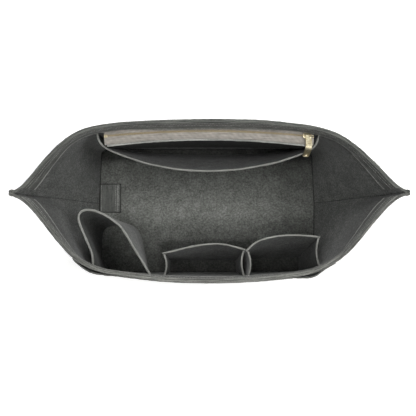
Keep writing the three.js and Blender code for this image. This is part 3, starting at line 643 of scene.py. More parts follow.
def feltSheet(name, grid, thickness, node, felt, cut="cut", grooves=(), levelFoot=True, pressed=None,
              lip=None, tipSwell=0, endRound=None, shadedFace=None):
    # grid holds the middle of the felt by rows and columns; grooves are (edge, distance from it, depth).
    # pressed names the face, "A" or "B", that is sewn flat against its neighbour along the top; lining names
    # the face of darker felt, painted shade inside pockets; lip is the width of a paler lower edge, a painted
    # highlight along its cut; endRound the rounding of both ends
    rows, columns = grid.shape[:2]
    normal = sheetNormals(grid)
    fromLeft, fromRight = rowDistance(grid, 1)
    fromBottom, fromTop = rowDistance(grid, 0)
    fromEnds = np.minimum(fromLeft, fromRight)
    if levelFoot:
        normal[..., 2] *= np.clip(fromBottom / cutLook["levelReach"], 0, 1)
        normal /= np.linalg.norm(normal, axis=-1, keepdims=True)
    distance = {"left": fromLeft, "right": fromRight, "bottom": fromBottom, "top": fromTop}
    half = {}
    for face in "AB":
        h = np.full((rows, columns), thickness / 2)
        for edge, d in distance.items():
            if edge in ("left", "right") and endRound:
                # the two walls are sewn face to face here, so only the other face is rounded
                if face != pressed:
                    h = h * edgeProfile(d, *endRound)
            elif not (edge == "top" and face == pressed):
                h = h * edgeProfile(d, cutLook["roundRadius"], cutLook["flatShare"])
        if face == pressed:
            sewn = np.minimum(fromTop, fromEnds) if endRound else fromTop
            h = h + cutLook["press"] * bell(sewn, cutLook["pressReach"])
        else:
            tip = bell(fromEnds - cutLook["tipAt"], cutLook["tipWidth"]) * bell(fromTop, cutLook["tipHeight"])
            h = h + tipSwell * tip
        h = h + cutLook["lumpSize"] * lumps(grid)
        for edge, at, depth in grooves:
            h = h - depth * bell(distance[edge] - at, cutLook["grooveWidth"])
        half[face] = h
    rough = cutLook["fuzzSize"] * fuzz(grid)
    faceA = grid + normal * (half["A"] + rough)[..., None]
    faceB = grid - normal * (half["B"] - rough)[..., None]
    u, v = fromLeft[-1][None] + 0 * fromLeft, fromBottom
    verts = [faceA.reshape(-1, 3), faceB.reshape(-1, 3)]
    grain = [np.stack([u, v, h], -1).reshape(-1, 3) for h in (half["A"], -half["B"])]
    n = rows * columns
    index = np.arange(n).reshape(rows, columns)

    # the top edge has its own rows across the felt, slightly crowned and ridged where its layers were cut
    rise = grid[-1] - grid[-2]
    rise /= np.linalg.norm(rise, axis=1, keepdims=True)
    strips = [index[-1]]
    for k in range(1, cutLook["layers"]):
        share = k / cutLook["layers"]
        through = half["A"][-1] * (1 - share) - half["B"][-1] * share
        streaks = fuzz(np.stack([u[-1] * 0.12, through * 3, v[-1]], -1))
        lift = cutLook["crown"] * math.sin(math.pi * share) + cutLook["ridge"] * streaks
        verts.append(faceA[-1] * (1 - share) + faceB[-1] * share + rise * lift[:, None])
        grain.append(np.stack([u[-1], v[-1], through], -1))
        strips.append(np.arange(columns) + 2 * n + (k - 1) * columns)
    strips.append(index[-1] + n)

    def cells(near):
        return (near[:-1, :-1] & near[1:, 1:] & near[1:, :-1] & near[:-1, 1:]).reshape(-1)

    edge = cells(np.minimum(fromEnds, np.minimum(fromBottom, fromTop)) < cutLook["colourWidth"])
    kinds = [np.where(edge, 1, 2 if face == shadedFace else 0) for face in "AB"]
    if lip:
        kinds = [np.where(cells(fromBottom < lip), 2, kind) for kind in kinds]
    slots = [felt, materials[cut]]
    # the third slot is painted light: pale cut felt as a highlight along a hem's lower edge, or darker felt as shade
    # on a pocket's inner face
    if shadedFace or lip:
        slots.append(materials["lip" if lip else "pocket"])

    faces = [gridFaces(rows, columns), gridFaces(rows, columns, n, flip=True)]
    for a, b in zip(strips[:-1], strips[1:]):
        faces.append(np.stack([a[1:], b[1:], b[:-1], a[:-1]], -1))
    for line, flip in ((index[0], False), (index[:, 0], True), (index[:, -1], False)):
        faces.append(joinFaces(line, n, flip))
    # the ends of the top rows close onto the side edges
    for column, flip in ((0, False), (-1, True)):
        corners = [[strips[0][column], a[column], b[column]] for a, b in zip(strips[1:-1], strips[2:])]
        corners = np.array(corners)
        faces.append(corners[:, ::-1] if flip else corners)
    kinds.append(np.ones(sum(len(f) for f in faces[2:]), int))
    verts = np.concatenate(verts)
    volume = 0
    for quads in (verts[faces[0]], verts[faces[1]]):
        for i in (1, 2):
            volume += np.einsum("ij,ij->i", quads[:, 0], np.cross(quads[:, i], quads[:, i + 1])).sum()
    turn = -1 if volume < 0 else 1
    allFaces = [face[::turn] for f in faces for face in f.tolist()]
    obj = makeObject(name, verts, allFaces, slots, np.concatenate(kinds), grain=np.concatenate(grain))
    enlist(obj, "liner", node)
    return faceA, faceB


threadLook = {"pitch": 3.3, "gap": 0.3, "radius": 0.36, "lift": 0.12, "dive": 0.16, "flatness": 0.8,
              "shares": [0, 0.14, 0.5, 0.86, 1], "sizes": [0.45, 0.85, 1, 0.85, 0.45]}


def stitchRun(path, outward):
    # one stitch after another along a path that lies on the felt, each dipping in at its ends
    path, outward = np.asarray(path, float), np.asarray(outward, float)
    s = lengths(path)
    count = int(s[-1] / threadLook["pitch"])
    step = s[-1] / count
    t = np.array(threadLook["shares"])
    starts = (np.arange(count) + 0.5) * step - (step - threadLook["gap"]) / 2
    at = (starts[:, None] + t * (step - threadLook["gap"])).ravel()

    def sample(line):
        return np.stack([np.interp(at, s, line[:, k]) for k in range(3)], -1)

    centre, up, way = sample(path), sample(outward), sample(np.gradient(path, axis=0))
    up /= np.linalg.norm(up, axis=1, keepdims=True)
    way /= np.linalg.norm(way, axis=1, keepdims=True)
    sideways = np.cross(way, up)
    height = np.tile(threadLook["lift"] - threadLook["dive"] * np.abs(2 * t - 1)**3, count)
    size = np.tile(threadLook["sizes"], count) * threadLook["radius"]
    angles = np.arange(6)[None, :, None] * math.pi / 3
    ring = np.cos(angles) * sideways[:, None] + np.sin(angles) * up[:, None] * threadLook["flatness"]
    verts = (centre + up * height[:, None])[:, None] + ring * size[:, None, None]
    k, a = np.meshgrid(np.arange(len(t) - 1), np.arange(6), indexing="ij")
    b = (a + 1) % 6
    quads = np.stack([k * 6 + a, k * 6 + b, (k + 1) * 6 + b, (k + 1) * 6 + a], -1)
    base = np.arange(count)[:, None, None, None] * 6 * len(t)
    return verts.reshape(-1, 3), (quads + base).reshape(-1, 4).tolist()


def threadObject(name, runs, body="liner", thread="thread"):
    verts, faces = gathered([stitchRun(*run) for run in runs])
    enlist(makeObject(name, verts, faces, [materials[thread]], sharp=80), body, None)


def faceRow(face, other, distances, at):
    # the line on a sheet's face at a distance from an edge, with its outward directions
    order = np.abs(distances - at).argmin(0)
    columns = np.arange(face.shape[1])
    path = face[order, columns]
    return path, path - other[order, columns]


def faceColumn(face, other, column, trim):
    # the same from foot to rim, without its ends
    return face[trim, column], (face - other)[trim, column]


# Walls and the hem facings inside their rims
hem = {"height": 22, "endRoom": 12, "rows": (3.8, 9.2, 20), "footSeam": 4.5, "groove": 0.25, "seam": 2.5,
       "seamGroove": 0.3, "facingGroove": 0.2, "lipHighlightWidth": 1.6, "tipSwell": 0.9, "endRound": (2.6, 0.35),
       "standOff": {-1: 1.5, 1: 2.6}, "looseHeight": 1.9, "looseReach": 55, "seamOpening": 0.9,
       "seamColumns": 40, "seamEase": 9,
       # how far past the side seam each column of its allowance lies
       "allowance": [5.0, 4.85, 4.6, 4.2, 3.2, 2.5, 1.8, 0.9]}
innerFaces = {}


def makeWall(side, word):
    rimLength = lengths(rims[side])[-1]
    height = liner["wallHeight"]
    ups = marks(height, spacing["up"], [hem["footSeam"], *(height - at for at in hem["rows"])])
    middle = wallPoints(side, marks(rimLength, spacing["fine"]), ups)
    ends = []
    for column, sign in ((0, -1), (-1, 1)):
        reach = np.array(hem["allowance"])[::-sign]
        strip = np.repeat(middle[:, [column]], len(reach), 1)
        strip[..., 0] += sign * reach
        ends.append(strip)
    middle = np.concatenate([ends[0], middle, ends[1]], 1)
    grooves = [("top", at, hem["groove"]) for at in hem["rows"]] + [("bottom", hem["footSeam"], hem["groove"])]
    grooves += [(edge, hem["seam"], hem["seamGroove"]) for edge in ("left", "right")]
    rim = f"rim{word.capitalize()}"
    # painted shade: the front wall's felt and its rim's cut felt darken towards the rim's ends, and the back rim's
    # cut felt is drawn darker all along
    faceA, faceB = feltSheet(f"{word}WallFelt", middle, liner["wallFelt"], f"{word}_wall",
                             materials["wallFront" if side < 0 else "wall"], rim, grooves,
                             pressed="B" if side < 0 else "A", tipSwell=hem["tipSwell"], endRound=hem["endRound"])

    # the facing follows the wall's upper part, one sewing gap inside it
    rowsUp = [hem["height"] - at for at in hem["rows"]]
    ups = 1 - hem["height"] / height * (1 - marks(hem["height"], spacing["fine"], rowsUp))
    room = hem["endRoom"] / rimLength
    shares = marks(rimLength - 2 * hem["endRoom"], spacing["fine"])
    facing = wallPoints(side, room + (1 - 2 * room) * shares, ups)
    normal = sheetNormals(facing)
    centre = facing.shape[1] // 2
    inward = np.sign(normal[0, centre, 1]) * -side
    # its lower edge stands off the wall a little along both sides, where nothing pulls it flat
    loose = np.clip(hem["looseHeight"] - np.abs(facing[..., 0]) / hem["looseReach"], 0, 1)
    loose = loose * (1 - np.linspace(0, 1, len(ups))[:, None])**1.5
    inset = inWall + liner["hemFelt"] / 2 + hem["standOff"][side] * loose
    facing = facing + normal * inward * inset[..., None]
    # its lower edge is drawn in pale cut felt, a painted highlight along the cut
    a, b = feltSheet(f"{word}HemFacing", facing, liner["hemFelt"], f"{word}_hem_facing",
                     materials[f"hem{word.capitalize()}"], rim,
                     [("top", at, hem["facingGroove"]) for at in hem["rows"]], levelFoot=False,
                     pressed="A" if side < 0 else "B", lip=hem["lipHighlightWidth"])

    # stitches: the hem lines on the facing and outside, the foot seam, and the side seams' allowances
    fromBottom, fromTop = rowDistance(middle, 0)
    outer, inner = (faceA, faceB) if side * (faceA - faceB)[5, middle.shape[1] // 2, 1] > 0 else (faceB, faceA)
    innerFaces[side] = inner
    trim = slice(9, -9)
    lines = [(fromTop, at) for at in hem["rows"]] + [(fromBottom, hem["footSeam"])]
    runs = [faceRow(outer[:, trim], inner[:, trim], distance[:, trim], at) for distance, at in lines]
    runs += [faceColumn(outer, inner, column, slice(4, -4)) for column in (4, -5)]
    threadObject(f"{word}WallStitches", runs)
    fromTop = rowDistance(facing, 0)[1]
    inFace, outFace = (a, b) if -side * (a - b)[2, centre, 1] > 0 else (b, a)
    trim = slice(3, -3)
    threadObject(f"{word}HemStitches", [faceRow(inFace[:, trim], outFace[:, trim], fromTop[:, trim], at)
                                        for at in hem["rows"]])


def seamPath(end):
    # from foot to rim, the line where the two walls' inner faces part
    path = []
    for front, back in zip(innerFaces[-1][3:-4, ::end], innerFaces[1][3:-4, ::end]):
        front, back = front[:hem["seamColumns"]], back[:hem["seamColumns"]]
        across = np.interp(front[:, 0] * end, back[:, 0] * end, back[:, 1])
        k = int(np.argmax(across - front[:, 1] > hem["seamOpening"]))
        path.append([front[k, 0], (front[k, 1] + across[k]) / 2, front[k, 2]])
    path = smoothed(np.array(path), hem["seamEase"])
    return path, np.broadcast_to([float(end), 0, 0], path.shape)


makeWall(-1, "front")
makeWall(1, "back")
# near black stitches along each side seam's valley: a painted shade line
threadObject("sideSeamShadeStitches", [seamPath(1), seamPath(-1)], thread="shadeLineThread")
print("walls and hems built")


# Base: rings from the lip that shows outside the walls' feet towards the middle
base = {"rings": [0, 0.15, 0.4, 0.8, 1.6, 2.6, 3.6, 4.6, 5.2, 5.8, 6.4, 7.2, 8.4, 10, 13, 18, 25, 34, 45, 58,
                  73, 90], "creaseAt": 6, "crease": 0.8, "creaseWidth": 0.8, "shadeLineFrom": 5, "shadeLineTo": 6.4,
        "lumpSize": 0.12, "edgeRadius": 0.8, "edgeFlat": 0.72, "centreAway": (6, 4)}


def makeBase():
    lip = liner["wallFelt"] / 2 + liner["baseLip"]
    outline = []
    for side in (-1, 1):
        line = along(feet[side], np.linspace(0, 1, 241))
        outline.append((line + planNormals(line) * side * lip)[::-side])
    outline = np.concatenate(outline)
    # the rings keep their distances at the sides, which is all that shows
    half = np.array([liner["baseLength"], liner["baseWidth"]]) / 2 + base["centreAway"]
    insets = np.array(base["rings"])
    ring = outline * (1 - insets[:, None, None] / half)
    rows, n = ring.shape[:2]
    total = rows * n
    thick = liner["wallFelt"] / 2
    h = (thick * edgeProfile(insets, base["edgeRadius"], base["edgeFlat"]))[:, None]
    uneven = base["lumpSize"] * lumps(np.dstack([ring, np.zeros((rows, n))])) * np.clip(insets / 3, 0, 1)[:, None]
    crease = base["crease"] * bell(insets - base["creaseAt"], base["creaseWidth"])
    top = np.dstack([ring, thick + h + uneven - crease[:, None]])
    low = np.dstack([ring, np.broadcast_to(thick - h, (rows, n))])
    verts = np.concatenate([top.reshape(-1, 3), low.reshape(-1, 3), [[0, 0, 2 * thick], [0, 0, 0]]])
    a = np.arange(n)
    b = np.roll(a, -1)
    faces, kinds = [np.stack([b, a, a + total, b + total], -1)], [np.ones(n, int)]
    for r in range(rows - 1):
        quad = np.stack([a, b, b + n, a + n], -1) + r * n
        edge = int(insets[r + 1] < cutLook["colourWidth"])
        # painted shade: near black felt on the ring band along the crease by the walls' feet
        seam = base["shadeLineFrom"] < insets[r] < base["shadeLineTo"]
        faces += [quad, quad[:, ::-1] + total]
        kinds += [np.full(n, 2 if seam else edge), np.full(n, edge)]
    last = total - n
    faces += [np.stack([last + a, last + b, 0 * a + 2 * total], -1)]
    faces += [np.stack([total + last + b, total + last + a, 0 * a + 2 * total + 1], -1)]
    kinds.append(np.zeros(2 * n, int))
    obj = makeObject("baseFelt", verts, [face for f in faces for face in f.tolist()],
                     [materials["base"], materials["rimBack"], materials["seam"]], np.concatenate(kinds), grain=verts)
    enlist(obj, "liner", "base_panel")


makeBase()
print("base built")


# Zipper: the chain lies on the arc that the slider's joint turns on
zipper = {"height": 150, "radius": 1227.6995, "centreY": -1141.4113, "tapeHalf": 127.5, "panelGap": 0.55,
          "tape": 0.8, "tapeSag": 0.35, "tapeLumps": 0.06, "tapeUnderCoil": 0.15, "bead": 1.6, "chainGap": 0.5,
          "coilReach": 1.45, "coilHook": 0.35, "coilPast": 5.5, "pitch": 1.5, "panelHalf": 124.5, "panelFoot": 28,
          "panelDepth": 10.7, "panelEndDrop": 1.8, "panelRise": 1.6, "returnDip": 4, "rest": 119, "stopLength": 4.4,
          "topStopPast": 7.1, "coilSizes": [0.3, 0.4, 0.42, 0.42, 0.44, 0.48, 0.25], "coilHeight": 0.5,
          "coilArch": 0.25, "coilFlat": 0.95, "panelSeam": 4, "panelGroove": 0.25, "returnShort": 1.4,
          "returnGap": 0.02}


def zipPlace(x, across, z):
    x, across, z = np.broadcast_arrays(np.asarray(x, float), across, z)
    angle = np.arcsin(x / zipper["radius"])
    reach = zipper["radius"] + across
    return np.stack([reach * np.sin(angle), zipper["centreY"] + reach * np.cos(angle), z.astype(float)], -1)


def panelAcross(x):
    return -zipper["panelDepth"] - zipper["panelEndDrop"] * (x / zipper["panelHalf"])**2


def makeTapes():
    x = np.linspace(-zipper["tapeHalf"], zipper["tapeHalf"], 160)
    t = np.array([0, 0.04, 0.1, 0.2, 0.35, 0.5, 0.65, 0.8, 0.9, 0.96, 1])
    height = zipper["height"]
    for word, sign in (("rear", 1), ("front", -1)):
        near = zipPlace(x, sign * (zipper["chainGap"] / 2 + zipper["tapeUnderCoil"]), height)
        if sign > 0:
            far = np.stack([near[:, 0], wallY(1, near[:, 0], height), near[:, 2]], -1)
        else:
            far = zipPlace(x, panelAcross(x) + liner["pocketFelt"] / 2 + zipper["panelGap"], height)
        grid = near + (far - near) * t[:, None, None]
        # the tape is pulled down a little between the coil and its sewn edge
        grid[..., 2] -= zipper["tapeSag"] * np.sin(t * math.pi)[:, None]
        grid[..., 2] += zipper["tapeLumps"] * lumps(grid)
        cloth = np.dstack([rowDistance(grid, 1)[0], rowDistance(grid, 0)[0], 0 * grid[..., 0]]).reshape(-1, 3)
        lift = np.array([0, 0, zipper["tape"] / 2])
        obj = makeObject(f"{word}Tape", np.concatenate([(grid + lift).reshape(-1, 3), (grid - lift).reshape(-1, 3)]),
                         shellFaces(*grid.shape[:2])[:, ::sign].tolist(), [materials["tape"]],
                         grain=np.concatenate([cloth, cloth + [0, 0, zipper["tape"]]]))
        enlist(obj, "liner", f"zipper_tape_{word}")


def makeCoil():
    # each tooth is one turn of the monofilament: two legs across the tape and a head that hooks past the middle
    left = -zipper["tapeHalf"] + zipper["stopLength"] + liner["seamGap"]
    right = zipper["rest"] + zipper["coilPast"]
    size = np.array(zipper["coilSizes"])
    t = np.linspace(0, 1, len(size))
    z = zipper["height"] + (zipper["coilHeight"] + zipper["coilArch"] * np.sin(t * math.pi))
    angles = np.arange(8) * math.pi / 4
    ring = np.stack([np.cos(angles), np.zeros(8), np.sin(angles) * zipper["coilFlat"]], -1)
    for word, sign, shift in (("rear", 1, 0.25), ("front", -1, 0.75)):
        across = sign * (zipper["coilReach"] - t * (zipper["coilReach"] + zipper["coilHook"]))
        teeth = []
        for k in range(int((right - left) / zipper["pitch"])):
            centre = zipPlace(left + (k + shift) * zipper["pitch"], across, z)
            verts = centre[:, None] + ring * size[:, None, None]
            teeth.append((verts.reshape(-1, 3), ringFaces(len(size), 8, flip=sign < 0)))
        obj = makeObject(f"{word}Coil", *gathered(teeth), [materials["coil"]], sharp=60)
        enlist(obj, "liner", f"zipper_teeth_{word}")


makeTapes()
makeCoil()


def block(low, high, bevel, squeeze=None):
    # a bevelled block as rings of a rounded rectangle, for small stamped metal pieces
    low, high = np.asarray(low, float), np.asarray(high, float)
    centre, half = (low + high) / 2, (high - low) / 2
    corners = []
    for quarter, (sx, sy) in enumerate(((1, 1), (-1, 1), (-1, -1), (1, -1))):
        for angle in np.linspace(0, math.pi / 2, 4) + quarter * math.pi / 2:
            corners.append((sx * (half[0] - bevel) + bevel * math.cos(angle),
                            sy * (half[1] - bevel) + bevel * math.sin(angle)))
    ring = np.array(corners)
    turns = np.radians([90, 60, 30, 0])
    levels = [(-half[2] + bevel * (1 - math.sin(a)), bevel * (1 - math.cos(a))) for a in turns]
    levels += [(-z, inset) for z, inset in reversed(levels)]
    verts = np.concatenate([np.column_stack([ring * ((half[:2] - inset) / half[:2]), np.full(len(ring), z)])
                            for z, inset in levels])
    if squeeze:
        verts = squeeze(verts, half)
    return verts + centre, ringFaces(len(levels), len(ring))


def prism(outline, low, high, bevel):
    levels = [(low, bevel), (low + bevel * 0.4, bevel * 0.3), (low + bevel, 0),
              (high - bevel, 0), (high - bevel * 0.4, bevel * 0.3), (high, bevel)]
    normals = planNormals(np.concatenate([outline[-1:], outline, outline[:1]]))[1:-1]
    if ((outline - outline.mean(0)) * normals).sum() < 0:
        normals = -normals
    verts = np.concatenate([np.column_stack([outline - normals * inset, np.full(len(outline), z)])
                            for z, inset in levels])
    area = np.sum(outline[:, 0] * np.roll(outline[:, 1], -1) - np.roll(outline[:, 0], -1) * outline[:, 1])
    return verts, ringFaces(len(levels), len(outline), flip=area <= 0)


def turned(shape, lift=0.0):
    # a prism built along z, turned to run along x
    verts, faces = shape
    return verts[:, [2, 0, 1]] + [0, 0, lift], faces


def circle(radius, count):
    angles = np.linspace(0, 2 * math.pi, count, endpoint=False)
    return radius * np.column_stack([np.cos(angles), np.sin(angles)])


def joined(name, shapes, matrix, body, node, sharp=35):
    verts, faces = gathered(shapes)
    verts = verts @ np.array(matrix.to_3x3()).T + np.array(matrix.translation)
    enlist(makeObject(name, verts, faces, [materials["gold"]], sharp=sharp), body, node)


def chainFrame(x):
    place = zipPlace(x, 0, zipper["height"])
    return Matrix.Translation(place) @ Matrix.Rotation(-math.asin(x / zipper["radius"]), 4, "Z")


# Stops: crimped metal, each as its lowest and highest z and its bevel
stops = {"bottom": (-1.3, 1.35, 0.35), "halves": ((-1, 0.1), (0.02, 1)), "proud": 0.05,
         "top": (-1.1, 1.15, 0.3), "topHalf": 1, "pinch": 0.16, "pinchWidth": 0.4}


def waisted(verts, half):
    # crimped stops are pinched in the middle of their length
    out = verts.copy()
    pinch = 1 - stops["pinch"] * bell(verts[:, 0], half[0] * stops["pinchWidth"])
    out[:, 1] *= pinch
    out[:, 2] *= 0.5 + 0.5 * pinch
    return out


def makeStops():
    side = zipper["chainGap"] / 2 + zipper["bead"]
    wide, end = side + stops["proud"], zipper["stopLength"] / 2
    # the bottom stop is one strip folded over the chain, so it shows as two halves that overlap in the middle
    low, high, bevel = stops["bottom"]
    joined("bottomStop", [block((x0 * end, -wide, low), (x1 * end, wide, high), bevel, waisted)
                          for x0, x1 in stops["halves"]],
           chainFrame(end - zipper["tapeHalf"]), "liner", "zipper_bottom_stop")
    low, high, bevel = stops["top"]
    for word, sign in (("rear", 1), ("front", -1)):
        y0, y1 = sorted((sign * zipper["chainGap"] / 2, sign * side))
        joined(f"{word}TopStop", [block((-stops["topHalf"], y0, low), (stops["topHalf"], y1, high), bevel, waisted)],
               chainFrame(zipper["rest"] + zipper["topStopPast"]), "liner", f"zipper_top_stop_{word}")


makeStops()


# Slider: two plates with side flanges, a wedge between them, and lugs that carry the pull
slider = {"width": 7, "plate": 0.9, "inner": 1.3, "flange": 0.6, "flangeEnds": (-3.6, 4.2), "slot": 0.7,
          "wedge": (1.5, 5.4, 0.25), "lug": 1.2, "lugGap": 0.3, "lugFoot": 1.55, "eye": 5, "eyeRadius": 1.4,
          "pinRadius": 0.7, "pinHeight": 1.8, "pinProud": 0.05,
          "plateBevel": 0.3, "flangeBevel": 0.15, "wedgeBevel": 0.1, "lugBevel": 0.2, "pinBevel": 0.18,
          # how far the flanges, the wedge and the lugs' feet lie inside the plates' outer faces
          "flangeSunk": 0.2, "wedgeSunk": 0.1, "lugSunk": 0.3,
          # half a plate: narrower where the joined chain leaves it, with a shoulder at its mouth
          "outline": [(-5.5, 1.6), (-5.2, 2.5), (-4.2, 3.0), (-1.5, 3.35), (1.5, 3.5), (3.6, 3.5), (4.9, 3.1),
                      (5.5, 2.2)]}
plateTop = slider["inner"] + slider["plate"]
pinZ = plateTop + slider["pinHeight"]


def makeSlider():
    curve = catmullRom(slider["outline"], 6)
    outline = np.concatenate([curve, curve[::-1] * [1, -1]])
    shapes = [prism(outline, low, high, slider["plateBevel"])
              for low, high in ((slider["inner"], plateTop), (-plateTop, -slider["inner"]))]
    start, end = slider["flangeEnds"]
    for sign in (-1, 1):
        low, high = sorted((sign * (slider["width"] / 2 - slider["flange"]), sign * slider["width"] / 2))
        for z0, z1 in ((slider["slot"], plateTop - slider["flangeSunk"]),
                       (slider["flangeSunk"] - plateTop, -slider["slot"])):
            shapes.append(block((start, low, z0), (end, high, z1), slider["flangeBevel"]))
    start, end, half = slider["wedge"]
    top = plateTop - slider["wedgeSunk"]
    shapes.append(block((start, -half, -top), (end, half, top), slider["wedgeBevel"]))
    angles = np.linspace(0, math.pi, 13)
    arch = slider["eyeRadius"] * np.column_stack([np.cos(angles), np.sin(angles)]) + [0, pinZ]
    foot = slider["lugFoot"]
    arch = np.concatenate([arch, [(x, plateTop - slider["lugSunk"]) for x in (-foot, foot)]])
    inside = slider["eye"] / 2 + slider["lugGap"]
    outside = inside + slider["lug"]
    for sign in (-1, 1):
        shapes.append(turned(prism(arch, *sorted((sign * inside, sign * outside)), slider["lugBevel"])))
    joined("sliderBody", shapes, chainFrame(zipper["rest"]), "slider", "slider_body")
    end = outside + slider["pinProud"]
    pin = prism(circle(slider["pinRadius"], 20), -end, end, slider["pinBevel"])
    joined("sliderPin", [turned(pin, pinZ)], chainFrame(zipper["rest"]), "slider", "slider_pin")


makeSlider()

pull = {"width": 8.2, "thickness": 1.4, "flat": 13.5, "bendRadius": 5, "bendAngle": 50, "tip": 10.5,
        "border": 1.15, "borderHeight": 0.38, "barHeight": 0.26, "bars": (6.2, 8.4, 10.6, 12.8, 15.0),
        "barHalf": 0.42, "barInset": 0.9, "recess": 1.0, "hollow": (4.2, 2.1, 2.4), "neck": 5.0, "neckEnd": 3.1,
        "neckGrow": (2.75, 1.1), "corner": (2.0, 1.6), "edgeRadius": 0.45, "reliefEdge": 0.4, "knuckleBevel": 0.25,
        "askew": [(0, 0), (2.8, 0), (5, 1.3), (9, 2.2), (13.5, 2.4), (18, 2.1), (24, 1.7), (29, 1.2)]}


def makePull():
    # from the eye: neck, flat blade with a raised border and plain cross bars, and a tip that bends down
    bend = math.radians(pull["bendAngle"])
    arc = pull["bendRadius"] * bend
    total = pull["flat"] + arc + pull["tip"]
    s = np.unique(np.concatenate([np.linspace(0, total, 90), [1.2, 2.6, 3.1, 3.5]]))
    turn = np.clip((s - pull["flat"]) / pull["bendRadius"], 0, bend)
    rest = np.clip(s - pull["flat"] - arc, 0, None)
    y = np.minimum(s, pull["flat"]) + pull["bendRadius"] * np.sin(turn) + rest * math.cos(bend)
    z = -pull["bendRadius"] * (1 - np.cos(turn)) - rest * math.sin(bend)

    # half width: a narrow neck between the lugs, then the blade, then rounded corners
    start, over = pull["neckGrow"]
    grow = np.clip((s - start) / over, 0, 1)
    halfWidth = pull["neck"] / 2 + (pull["width"] - pull["neck"]) / 2 * grow * grow * (3 - 2 * grow)
    over, cutIn = pull["corner"]
    corner = np.clip((total - s) / over, 0, 1)
    halfWidth = (halfWidth - cutIn * (1 - np.sqrt(1 - (1 - corner)**2)))[:, None]
    s, y, z, turn = s[:, None], y[:, None], z[:, None], turn[:, None]
    x = halfWidth * np.concatenate([[-1, -0.985, -0.95], np.linspace(-0.9, 0.9, 37), [0.95, 0.985, 1]])
    edge = halfWidth - np.abs(x)

    def fade(value, start, end):
        return 1 - np.clip((value - start) / (end - start), 0, 1)

    inside = np.minimum(edge, np.minimum(total - s, np.clip(s - pull["neckEnd"], 0, None)))
    relief = pull["borderHeight"] * fade(inside, pull["border"] * 0.75, pull["border"] * 1.1)
    relief = np.where(s < pull["neckEnd"] + 0.1, 0, relief)
    for at in pull["bars"]:
        bar = np.exp(-((s - at) / pull["barHalf"])**4)
        relief = np.maximum(relief, pull["barHeight"] * bar * (edge > pull["barInset"]))
    # an oval hollow near the tip
    fromTip, across, along = pull["hollow"]
    oval = np.sqrt((x / across)**2 + ((s - total + fromTip) / along)**2)
    relief = relief - pull["recess"] * fade(oval, 0.75, 1.05)
    roundEdge = np.sqrt(np.clip(1 - (1 - np.clip(edge / pull["edgeRadius"], 0, 1))**2, 0, 1))
    side = pull["thickness"] / 2 * (0.35 + 0.65 * roundEdge)
    # lying forwards, so the length runs towards -y; loose on its pin it hangs a little askew
    askew = smoothed(np.array(pull["askew"], float), 1.5)
    x = x + np.interp(s, askew[:, 0], askew[:, 1])
    blade = [np.stack([x, -(y + np.sin(turn) * h), z + np.cos(turn) * h], -1).reshape(-1, 3)
             for h in (side + relief * np.clip(edge / pull["reliefEdge"], 0, 1), -side)]
    knuckle = prism(circle(slider["eyeRadius"], 24), -pull["neck"] / 2, pull["neck"] / 2, pull["knuckleBevel"])
    joined("pullTab", [(np.concatenate(blade), shellFaces(*x.shape)[:, ::-1].tolist()), turned(knuckle)],
           chainFrame(zipper["rest"]) @ Matrix.Translation((0, 0, pinZ)), "pull", "pull_tab", sharp=50)


makePull()
print("zipper, slider and pull built")


# Zip pocket: front panel that rises to the front tape, with a return to the wall at each end
def makeZipPanel():
    foot, top = zipper["panelFoot"], zipper["height"] + zipper["panelRise"]
    x = np.linspace(-zipper["panelHalf"], zipper["panelHalf"], 130)
    rows = []
    for up in marks(top - foot, spacing["up"], [top - foot - zipper["panelSeam"]]):
        z = foot + (top - foot) * up
        high = zipPlace(x, panelAcross(x), z)
        low = wallY(1, high[:, 0], z, liner["pocketFelt"] / 2)
        front = np.stack([high[:, 0], low + (high[:, 1] - low) * up, np.full(len(x), z)], -1)
        # the returns end a little lower than the front
        dip = foot + (zipper["height"] - zipper["returnDip"] - foot) * up
        ends = []
        for p in (front[0], front[-1]):
            wall = float(wallY(1, p[0], dip))
            y = min(p[1] + zipper["returnShort"], wall - zipper["returnGap"])
            ends.append(np.array([[p[0], wall, dip], [p[0], y, dip]]))
        line = np.concatenate([ends[0], front, ends[1][::-1]])
        if not rows:
            shares = marks(lengths(line)[-1], spacing["along"])
        rows.append(along(softCorners(line, 1), shares))
    # painted shade: the whole panel is drawn in the darkest felt; its top edge takes the pale hem-edge felt, a
    # painted highlight
    feltSheet("zipPocketFelt", np.array(rows), liner["pocketFelt"], "zip_pocket_panel",
              materials["zipPanelShade"], cut="lip", grooves=[("top", zipper["panelSeam"], zipper["panelGroove"])])


makeZipPanel()
print("zip pocket built")


# Slip pocket: one wide panel that bulges forwards, sewn to the back wall at both ends
slip = {"half": 132, "depth": 52.4, "footDepth": 10, "endHeight": 150, "dip": 16, "wander": 0.06,
        "height": 134, "closeRows": 130, "columnStep": 2.3, "bulge": 30, "ease": 0.05,
        # its sewn ends reach a little further out than the rest suggests
        "reach": ((-1, 4), (1, 1.6)), "reachFrom": 2.33, "reachOver": 0.3,
        "shares": [(0, 1), (0.152, 0.985), (0.304, 0.943), (0.448, 0.874), (0.6, 0.777), (0.737, 0.65),
                   (0.82, 0.56), (0.896, 0.455), (0.949, 0.345), (0.983, 0.205), (1, 0)]}


